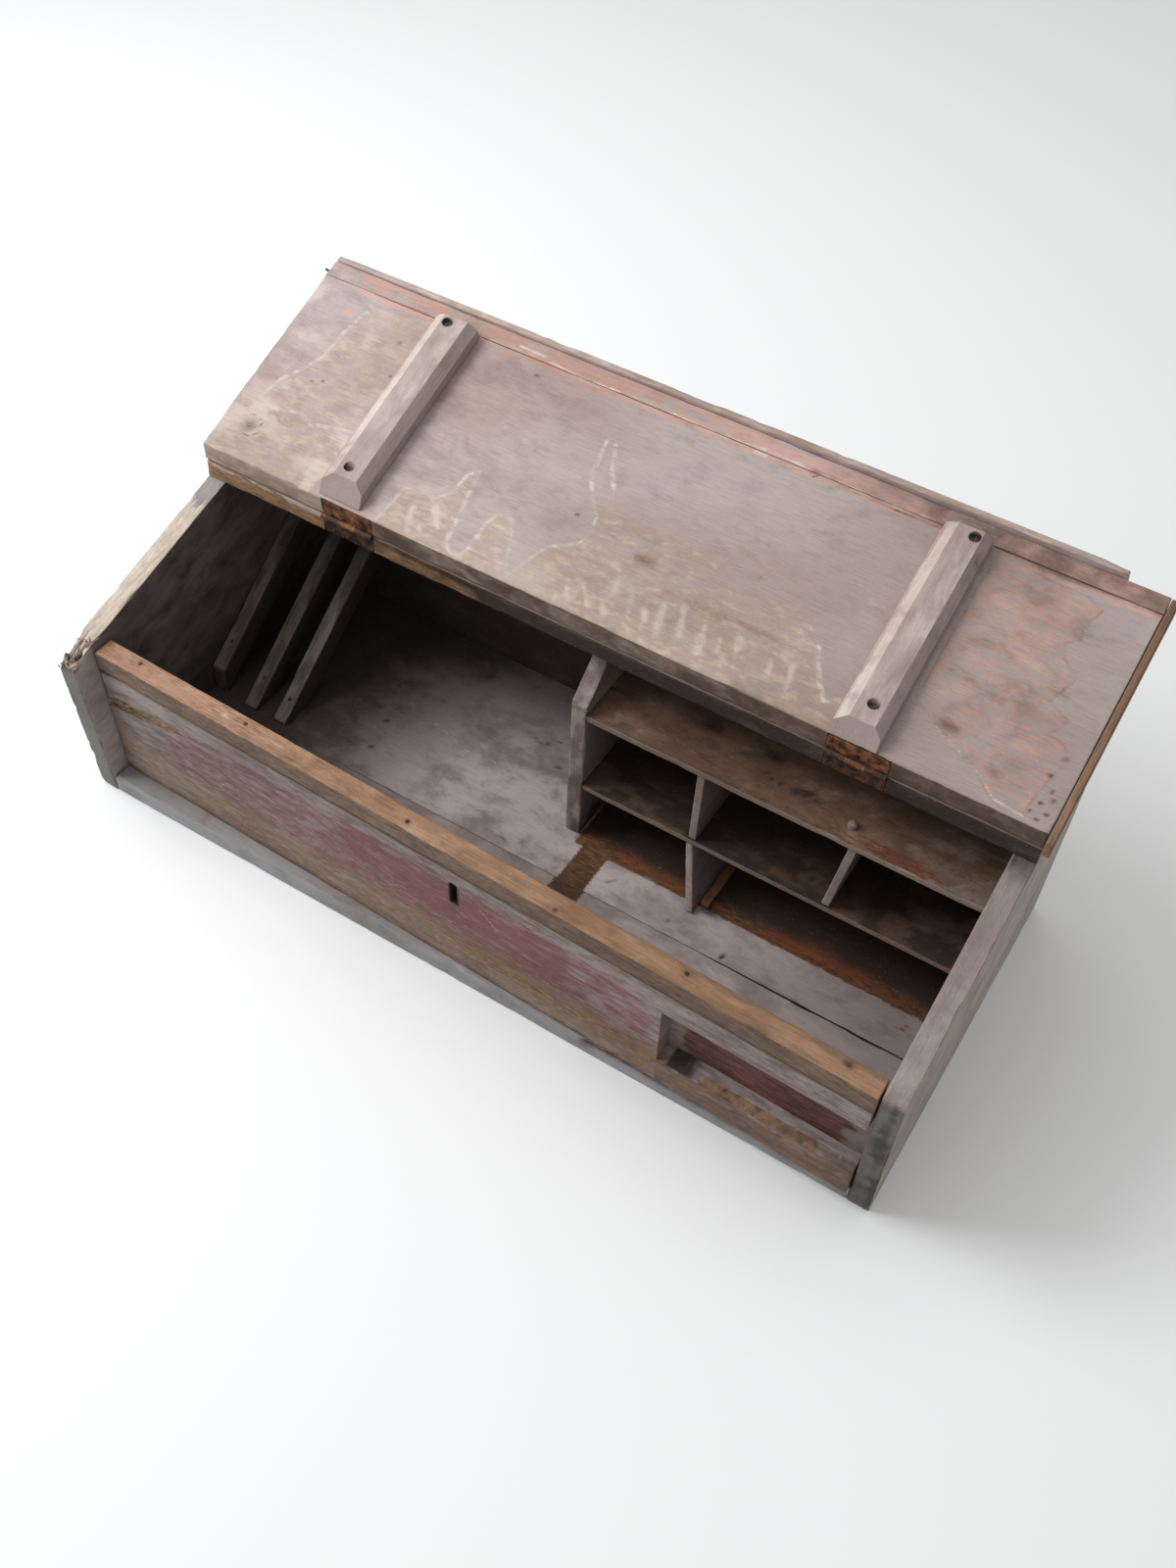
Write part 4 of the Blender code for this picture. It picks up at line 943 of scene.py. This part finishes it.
def battenLook(own):  # the screws' places on the batten's own grid, then its cuts and paint
    (low, high), (nearEnd, nearSlope) = own["span"], own["near"]
    wide, topWide = high - low, high - low - sum(own["chamfers"])
    holes = [((u - nearEnd - nearSlope) / (1 - nearSlope / (batten["farEnd"] - nearEnd)) * 1000,
              (x - low - own["chamfers"][0]) / topWide * wide * 1000) for u, x in own["screws"]]

    def hole(p, size):
        return sum(smooth(size + 0.3, size - 0.3, np.hypot(p[:, 0] - a, (p[:, 1] - b) * topWide / wide))
                   for a, b in holes)

    def cuts(p, out):
        return batten["sunk"] * hole(p, batten["hole"]) * (out[:, 2] > 0.5)

    def paint(p, out):
        a, b, c = p.T
        top = out[:, 2] > 0.5
        leftCham = smooth(0.3, 0.6, -out[:, 1]) * (c > 11)
        rightCham = smooth(0.3, 0.6, out[:, 1])
        # painted shade on the right chamfer and a painted highlight on the left chamfer
        dirtAndShade = (top * (0.85 * hole(p, batten["hole"]) + 0.3 * hole(p, 7.0)) + 0.35 * rightCham
                + 0.2 * smooth(0.4, 0.7, -out[:, 0]))
        bloomAndLight = 0.6 * leftCham + 0.28 * flaked(p, (60, 10, 10), 41, 0.48, 0.64) * top
        return channels(p, dirtAndShade, bloomAndLight, 0.12 * top * flaked(p, (50, 6, 6), 42, 0.5, 0.7))
    return holes, cuts, paint


for side, seed in (("left", 44), ("right", 47)):
    own = batten[side]
    holes, cuts, paint = battenLook(own)
    near = np.arange(-7, 7.1, 0.6)
    wornBoard(f"wornBatten_{side}", f"lid_batten_{side}",
              (batten["farEnd"] - own["near"][0], own["span"][1] - own["span"][0], batten["thick"]),
              battenPlace(own), finish="lid_paint", body="lid", step=0.0034, arris=0.0006, chip=0.0005,
              seed=seed, cuts=cuts, paint=paint,
              lines=([a + e for a, b in holes for e in near], [b + e * 1.7 for a, b in holes for e in near],
                     (10.5,)))
print("lid made")

bars = {  # each bar's place by its middle, its front tip and the height of its nose
    "places": ((0.0294, 0.154, 0.030), (0.0718, 0.149, 0.003), (0.1098, 0.149, 0.003)),
    "wide": 0.017, "deep": 0.025, "slope": math.radians(37.5), "nails": (0.025, 0.026, 0.020), "nailSunk": 0.0003,
}
barRise, barPlumb = math.tan(bars["slope"]), bars["deep"] / math.cos(bars["slope"])


# along = depth, across = from the underside or the floor up to the sloping top, through = width
def barPlace(mid, tip, nose):
    def place(a, b, c):
        high = chest["floorTop"] + nose + a * barRise
        low = np.maximum(chest["floorTop"], high - barPlumb)
        return inCase(mid - bars["wide"] / 2 + c, tip + a, low + b / barPlumb * (high - low))
    return place


def barPaint(p, out):
    side = np.abs(out[:, 2]) > 0.5
    # painted shade: the sides dark, the whole bar a little darker and more so towards the back wall; the patchy
    # part is dirt
    return channels(p, 0.75 * side + 0.2 + 0.5 * smooth(40, 200, p[:, 0])
                    + 0.3 * flaked(p, (30, 10, 8), 51, 0.5, 0.65), bare=0.1)


for number, (mid, tip, nose) in enumerate(bars["places"], 1):
    wornBoard(f"wornBar_{number}", f"saw_rack_bar_{number}",
              (chest["backInside"] - chest["gap"] - tip, barPlumb, bars["wide"]), barPlace(mid, tip, nose),
              step=0.005, arris=0.0016, seed=50 + number, paint=barPaint,
              lines=([(barPlumb - nose) / barRise * 1000], (), ()))

upright = {"x": 0.430, "thick": 0.017, "frontY": 0.1965, "frontTall": 0.200, "straight": 0.1745,
           "dadoes": ((66.4, 77.2), (162.4, 173.2)), "dadoDeep": 5.0}
uprightReach = chest["backInside"] - chest["gap"] - upright["frontY"]
uprightTall = endTop(chest["backInside"]) - chest["floorTop"]


# along = height, straight to above the top shelf and then drawn to the sloping head; across = depth
def uprightPlace(a, b, c):
    y = upright["frontY"] + b
    head = np.minimum(upright["frontTall"] + b, endTop(y)) - chest["floorTop"]
    share = (a - upright["straight"]) / (uprightTall - upright["straight"])
    return inCase(upright["x"] + c, y, chest["floorTop"]
                  + np.where(share < 0, a, upright["straight"] + share * (head - upright["straight"])))


def uprightCuts(p, out):
    grooves = sum((p[:, 0] > low) & (p[:, 0] < high) for low, high in upright["dadoes"])
    return upright["dadoDeep"] * grooves * (out[:, 2] > 0.5)


def uprightPaint(p, out):
    a, b, c = p.T
    face = (out[:, 1] < -0.4) | (out[:, 0] > 0.4)
    # painted shade on the face turned away from the light and towards the foot; the patchy part on the front is
    # dirt
    dirtAndShade = 0.3 * (out[:, 2] > 0.5) + 0.35 * smooth(40, 0, a) + 0.4 * face * flaked(p, (30, 8, 8), 52, 0.55, 0.7)
    return channels(p, dirtAndShade, 0.6 * face * flaked(p, (30, 9, 9), 53, 0.35, 0.55), 0.2)


dadoLines = [v + e for pair in upright["dadoes"] for v in pair for e in (-0.2, 0.2)]
wornBoard("wornUpright", "cubby_upright", (uprightTall, uprightReach, upright["thick"]), uprightPlace, step=0.005,
          arris=0.0018, chip=0.002, seed=55, lines=(dadoLines, (), ()), cuts=uprightCuts, paint=uprightPaint)


shelfMarks = {  # chest-frame millimetres: dark patches, then rust spots
    "top": ([((537, 250), (38, 12)), ((615, 254), (25, 6)), ((491, 228), (4, 3))],
            [((760, 205), (70, 10)), ((560, 215), (12, 4))]),
    "mid": ([((600, 260), (200, 40))], [((541, 211), (6, 3)), ((668, 226), (5, 3)), ((762, 214), (7, 4))]),
}


def shelfPaint(level, dark):
    start = (np.asarray(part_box(f"cubby_{level}_shelf")[0]) - (chest["left"], chest["front"], 0)) * 1000

    def paint(p, out):
        x, y = p[:, 0] + start[0], p[:, 1] + start[1]
        top, edge = out[:, 2] > 0.5, out[:, 1] < -0.4
        worn, rust = (sum(spot(x, y, at, span) for at, span in marks) for marks in shelfMarks[level])
        grit = patch(x, y, (605, 220), (690, 232), 5) * flaked(p, (3, 3, 3), 56, 0.45, 0.55)
        # painted shade towards the back and on the underside; the lower shelf is darker all over; the patches and
        # grit are dirt
        dirtAndShade = (top * (dark + 0.55 * worn + 0.5 * grit + 0.4 * smooth(275, 340, y)
                       + 0.35 * flaked(p, (22, 11, 10), 57, 0.46, 0.6)) + 0.3 * (out[:, 2] < -0.5))
        bloomAndLight = 0.85 * edge + top * (0.25 * flaked(p, (30, 10, 10), 54, 0.5, 0.65) + 0.3 * smooth(700, 840, x))
        return channels(p, dirtAndShade, bloomAndLight, 0.35 * top, 0.7 * rust * top)
    return paint


for level, dark, seed in (("top", 0.0, 58), ("mid", 0.4, 59)):
    size, place = boxPlace(f"cubby_{level}_shelf", (0, 1, 2))
    wornBoard(f"wornShelf_{level}", f"cubby_{level}_shelf", size, place, finish="dusty",
              step=0.005, arris=0.0009, chip=0.0012, seed=seed, paint=shelfPaint(level, dark))


def dividerPaint(p, out):
    edge = out[:, 0] < -0.4
    return channels(p, 0.2 + 0.2 * flaked(p, (40, 12, 8), 62, 0.5, 0.7), 0.75 * edge, 0.2)


dividers = {  # each by the x of its foot, heights of foot and head, lean, and how far the foot comes forward
    "left": (0.566, 0.0943, 0.1827, 0.0, 0.0),
    "right": (0.704, 0.0943, 0.1827, math.radians(7.5), 0.0),
    "low": (0.5845, 0.0203, 0.0867, math.radians(-18.0), 0.025),
    "thick": 0.008, "frontY": 0.1985,
}


# along = depth, across = height, through = thickness, leaned about the depth axis
def dividerPlace(footX, foot, head, lean, forward):
    rise = dividers["thick"] / 2 * abs(math.sin(lean))
    tall = (head - foot - 2 * rise) / math.cos(lean)
    run = chest["backInside"] - chest["gap"] - dividers["frontY"]

    def place(a, b, c):
        step = forward * (1 - b / tall) * (1 - a / run)
        x = c - dividers["thick"] / 2
        return inCase(footX + x * math.cos(lean) + b * math.sin(lean), dividers["frontY"] + a - step,
                      foot + rise - x * math.sin(lean) + b * math.cos(lean))
    return (run, tall, dividers["thick"]), place


for key in ("left", "right", "low"):
    size, place = dividerPlace(*dividers[key])
    wornBoard(f"wornDivider_{key}", f"cubby_divider_{key}", size, place, step=0.005, arris=0.001,
              seed=64 + len(key), paint=dividerPaint)
size, place = boxPlace("drawer_runner", (1, 0, 2))
wornBoard("wornRunner", "drawer_runner", size, place, finish="old_wood", step=0.004, arris=0.0008, chip=0.0008,
          seed=69)
print("saw rack and pigeonholes made")


# Turned heads: a profile of (radius, height) carried round an axis and closed at both ends, copied to every place
# at once; a slot is sunk across the top.
def turnedHeads(name, body, finish, profile, places, axes, nodes=(), steps=18, slotWide=0.0, slotDeep=0.0):
    places, axes = np.atleast_2d(places), np.atleast_2d(np.asarray(axes, float))
    axes = np.broadcast_to(axes / np.linalg.norm(axes, axis=1, keepdims=True), places.shape)
    side = np.cross(axes, np.where(np.abs(axes[:, :1]) < 0.9, [[1.0, 0, 0]], [[0, 1.0, 0]]))
    side /= np.linalg.norm(side, axis=1, keepdims=True)
    other = np.cross(axes, side)
    radius, height = np.array(profile).T
    angle = np.linspace(0, 2 * math.pi, steps, endpoint=False)
    x, y = radius[:, None] * np.cos(angle), radius[:, None] * np.sin(angle)
    z = np.broadcast_to(height[:, None], x.shape)
    if slotWide:
        z = np.where((np.abs(y) < slotWide / 2) & (z > height.max() - slotDeep), z - slotDeep, z)
    ring = np.stack([x, y, z], -1).reshape(-1, 3)
    world = (places[:, None] + ring[None, :, :1] * side[:, None] + ring[None, :, 1:2] * other[:, None]
             + ring[None, :, 2:] * axes[:, None])
    n = np.arange(len(radius) * steps).reshape(len(radius), steps)
    m = np.roll(n, -1, axis=1)
    q = np.stack([n[:-1], m[:-1], m[1:], n[1:]], -1).reshape(-1, 4)
    starts = (np.arange(len(places)) * ring.shape[0])[:, None, None]
    ends = np.stack([n[0, ::-1], n[-1]])
    faces = (q + starts).reshape(-1, 4).tolist() + (ends + starts).reshape(-1, steps).tolist()
    world = world.reshape(-1, 3)
    return shown(name, world, faces, finish, body, nodes, world, channels(world), borders(world),
                 np.zeros(len(world)))


endRadius = 0.00005  # radius in metres at which a turned end is closed
nail = {"radius": 0.0022, "dome": 0.0005}
nailProfile = [(endRadius, -0.001), (nail["radius"], -0.001), (nail["radius"], nail["dome"] * 0.4),
               (nail["radius"] * 0.6, nail["dome"]), (endRadius, nail["dome"])]
stripSpots = np.array(front["nails"]) / 1000
stripTop = frontPlace(0.0)(stripSpots[:, 0], np.full(len(stripSpots), front["stripTop"] - 0.0004), stripSpots[:, 1])
turnedHeads("stripNails", "case", "dark_iron", nailProfile, stripTop, frontTurn[:, 2])

screw = {"radius": 0.0044, "tall": 0.0026, "sunk": 0.0040}
screwProfile = [(endRadius, -screw["tall"]), (0.0022, -screw["tall"]), (screw["radius"], -0.0002),
                (screw["radius"] * 0.96, 0.0), (screw["radius"] * 0.6, 0.0001), (screw["radius"] * 0.3, 0.0001),
                (endRadius, 0.0001)]
spots = [at for side in ("left", "right") for at in batten[side]["screws"]]
screwTop = batten["thick"] + chest["gap"] - screw["sunk"]
heads = np.array([innerFace(u, x, screwTop) for u, x in spots])
outward = innerFace(0.0, 0.0, 1.0) - innerFace(0.0, 0.0, 0.0)
turnedHeads("battenScrews", "lid", "dark_iron", screwProfile, heads, outward, steps=28,
            slotWide=0.0013, slotDeep=0.0009,
            nodes=[f"batten_screw_{side}_{end}" for side in ("left", "right") for end in ("near", "far")])

button = {"at": (0.705, 0.217, 0.1903), "radius": 0.0044, "tall": 0.005}
buttonProfile = [(endRadius, 0.0), (button["radius"], 0.0), (button["radius"], button["tall"] * 0.45),
                 (button["radius"] * 0.9, button["tall"] * 0.75), (button["radius"] * 0.6, button["tall"] * 0.95),
                 (endRadius, button["tall"])]
turnedHeads("turnedButton", "case", "grey_paint", buttonProfile, inCase(*button["at"]), (0, 0, 1),
            nodes=("shelf_button",), steps=28)

leafScrew = [(endRadius, -0.0010), (0.0030, -0.0010), (0.0030, 0.0), (0.0025, 0.00025), (0.0012, 0.00025),
             (endRadius, 0.00025)]
leafSpots = ((-0.019, 0.0062), (0.0, 0.0118), (0.019, 0.0062))  # along from the leaf's middle, up from its foot
leafSunk = 0.00005
hingeSpots = [(m / 1000 + dx, up) for m in gain["mids"] for dx, up in leafSpots]
railHeads = np.array([inCase(x, chest["hingeLineY"] + leafSunk, chest["hingeLineZ"] + chest["gap"] + up)
                      for x, up in hingeSpots])
lidHeads = np.array([inLid(x, lidBackY - leafSunk, endTop(lidBackY) + chest["gap"] + up) for x, up in hingeSpots])
lidOut = inLid(0.0, 1.0, 0.0) - inLid(0.0, 0.0, 0.0)
for name, body, heads, axis in (("railLeafScrews", "case", railHeads, (0, -1, 0)),
                                ("lidLeafScrews", "lid", lidHeads, lidOut)):
    turnedHeads(name, body, "dark_iron", leafScrew, heads, axis, steps=20, slotWide=0.0009, slotDeep=0.0006)

barNails = np.array([inCase(mid, tip + run, chest["floorTop"] + nose + run * barRise - bars["nailSunk"])
                     for (mid, tip, nose), run in zip(bars["places"], bars["nails"])])
turnedHeads("barNails", "case", "dark_iron", nailProfile, barNails,
            (0, -math.sin(bars["slope"]), math.cos(bars["slope"])))

stub = {"u": 0.224, "height": -0.007, "out": 0.0085, "radius": 0.0012}
stubProfile = [(endRadius, -0.002), (stub["radius"], -0.002), (stub["radius"] * 1.15, stub["out"] * 0.5),
               (stub["radius"], stub["out"] * 0.9), (0.0004, stub["out"])]
turnedHeads("lidNailStub", "lid", "dark_iron", stubProfile, innerFace(stub["u"], 0.0, stub["height"]),
            (-1, 0, 0.25))

splinter = {"count": 26, "long": (0.004, 0.013), "thick": 0.0006, "sunk": 0.006}
dice = np.random.default_rng(12)
along = dice.uniform(0.0, 0.036, splinter["count"])
spread = dice.uniform(0.0015, 0.019, splinter["count"])
feet = np.array([inCase(x, y - chest["leftRake"], endTop(y - chest["leftRake"]) - splinter["sunk"])
                 for x, y in zip(spread, along)])
lean = np.stack([dice.normal(0, 0.25, splinter["count"]), dice.uniform(-1.0, 0.3, splinter["count"]),
                 dice.uniform(0.15, 0.7, splinter["count"])], -1)
for number, tip in enumerate(splinter["long"]):
    spike = [(splinter["thick"] * 1.4, -0.003), (splinter["thick"], tip * 0.3),
             (splinter["thick"] * 0.7, tip * 0.65), (0.00006, tip)]
    turnedHeads(f"rotSplinters_{number}", "case", "bare_pine", spike, feet[number::2], lean[number::2], steps=5)

hingeFinish = {"rail_leaf": "shaded_iron", "lid_leaf": "rusty_iron", "pin": "dark_iron"}
for side in ("left", "right"):
    for piece, finish in hingeFinish.items():
        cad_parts[f"hinge_{side}_{piece}"].material_slots[0].material = finishes[finish]
print("fixings made")

studio = {
    "camera": (0.50066, -0.86362, 1.25393), "yaw": -28.8025, "pitch": -49.31298, "roll": -3.97105,
    "focalPixels": 1634.43, "frameHigh": 1600,
    "floorColor": "#f4f5f5", "sky": "#f6f6f5", "skyStrength": 0.55,
    "key": {"at": (-1.85, -0.62, 1.85), "aim": (0.0, 0.0, 0.2), "size": 1.5, "power": 55.0, "color": "#fbfcff"},
    "top": {"at": (-0.5, 0.6, 2.8), "aim": (0.0, 0.0, 0.2), "size": 2.2, "power": 14.0, "color": "#ffffff"},
}


def aimed(at, aim):  # turn that points a lamp's -Z from at to aim
    away = np.asarray(at, float) - np.asarray(aim, float)
    away /= np.linalg.norm(away)
    right = np.cross([0, 0, 1.0], away)
    right /= np.linalg.norm(right)
    return Matrix(np.vstack([np.column_stack([right, np.cross(away, right), away, at]), [0, 0, 0, 1]]).tolist())


for key in ("key", "top"):
    light = studio[key]
    lamp = bpy.data.lights.new(key + "Light", "AREA")
    lamp.shape, lamp.size, lamp.energy = "SQUARE", light["size"], light["power"]
    lamp.color = linear(light["color"])[:3]
    holder = bpy.data.objects.new(key + "Light", lamp)
    holder.matrix_world = aimed(light["at"], light["aim"])
    scene.collection.objects.link(holder)

world = bpy.data.worlds.new("studioSky")
world.use_nodes = True
scene.world = world
tree = world.node_tree
path = add(tree, "LightPath")
seen = add(tree, "Math", {"operation": "MAXIMUM"},
           {0: path.outputs["Is Camera Ray"], 1: path.outputs["Is Glossy Ray"]}).outputs[0]
seen = add(tree, "Math", {"operation": "MAXIMUM"}, {0: seen, 1: path.outputs["Is Transmission Ray"]}).outputs[0]
level = add(tree, "MapRange", {"To Min": studio["skyStrength"], "To Max": 1.0}, {"Value": seen}).outputs[0]
sky = tree.nodes["Background"]
sky.inputs["Color"].default_value = linear(studio["sky"])
tree.links.new(level, sky.inputs["Strength"])

floorGrid = np.linspace(-6, 6, 25)
floorX, floorY = np.meshgrid(floorGrid, floorGrid, indexing="ij")
floorPoints = np.stack([floorX, floorY, floorX * 0], -1).reshape(-1, 3)
floorMesh = bpy.data.meshes.new("studioFloor")
floorMesh.from_pydata(floorPoints.tolist(), [], gridQuads(floorX.shape).tolist())
# flat white paint that takes the shadow and hardly shines
paper, tree, shader = newMaterial("paintedStudioFloor")
for key, value in {"Base Color": linear(studio["floorColor"]), "Roughness": 0.9, "Specular IOR Level": 0.1}.items():
    shader.inputs[key].default_value = value
floorMesh.materials.append(paper)
studioFloor = bpy.data.objects.new("studioFloor", floorMesh)
scene.collection.objects.link(studioFloor)

yaw, pitch, roll = (math.radians(studio[k]) for k in ("yaw", "pitch", "roll"))
forward = np.array([math.sin(yaw) * math.cos(pitch), math.cos(yaw) * math.cos(pitch), math.sin(pitch)])
right = np.array([math.cos(yaw), -math.sin(yaw), 0.0])
down = np.cross(forward, right)
right, down = math.cos(roll) * right + math.sin(roll) * down, -math.sin(roll) * right + math.cos(roll) * down
lens = bpy.data.cameras.new("photoCamera")
lens.sensor_width = 36.0
lens.lens = 36.0 * studio["focalPixels"] / studio["frameHigh"]
camera = bpy.data.objects.new("photoCamera", lens)
camera.matrix_world = Matrix(np.vstack([np.column_stack([right, -down, -forward, studio["camera"]]),
                                        [0, 0, 0, 1]]).tolist())
scene.collection.objects.link(camera)
scene.camera = camera
scene.view_settings.view_transform = "Standard"

print("studio made")
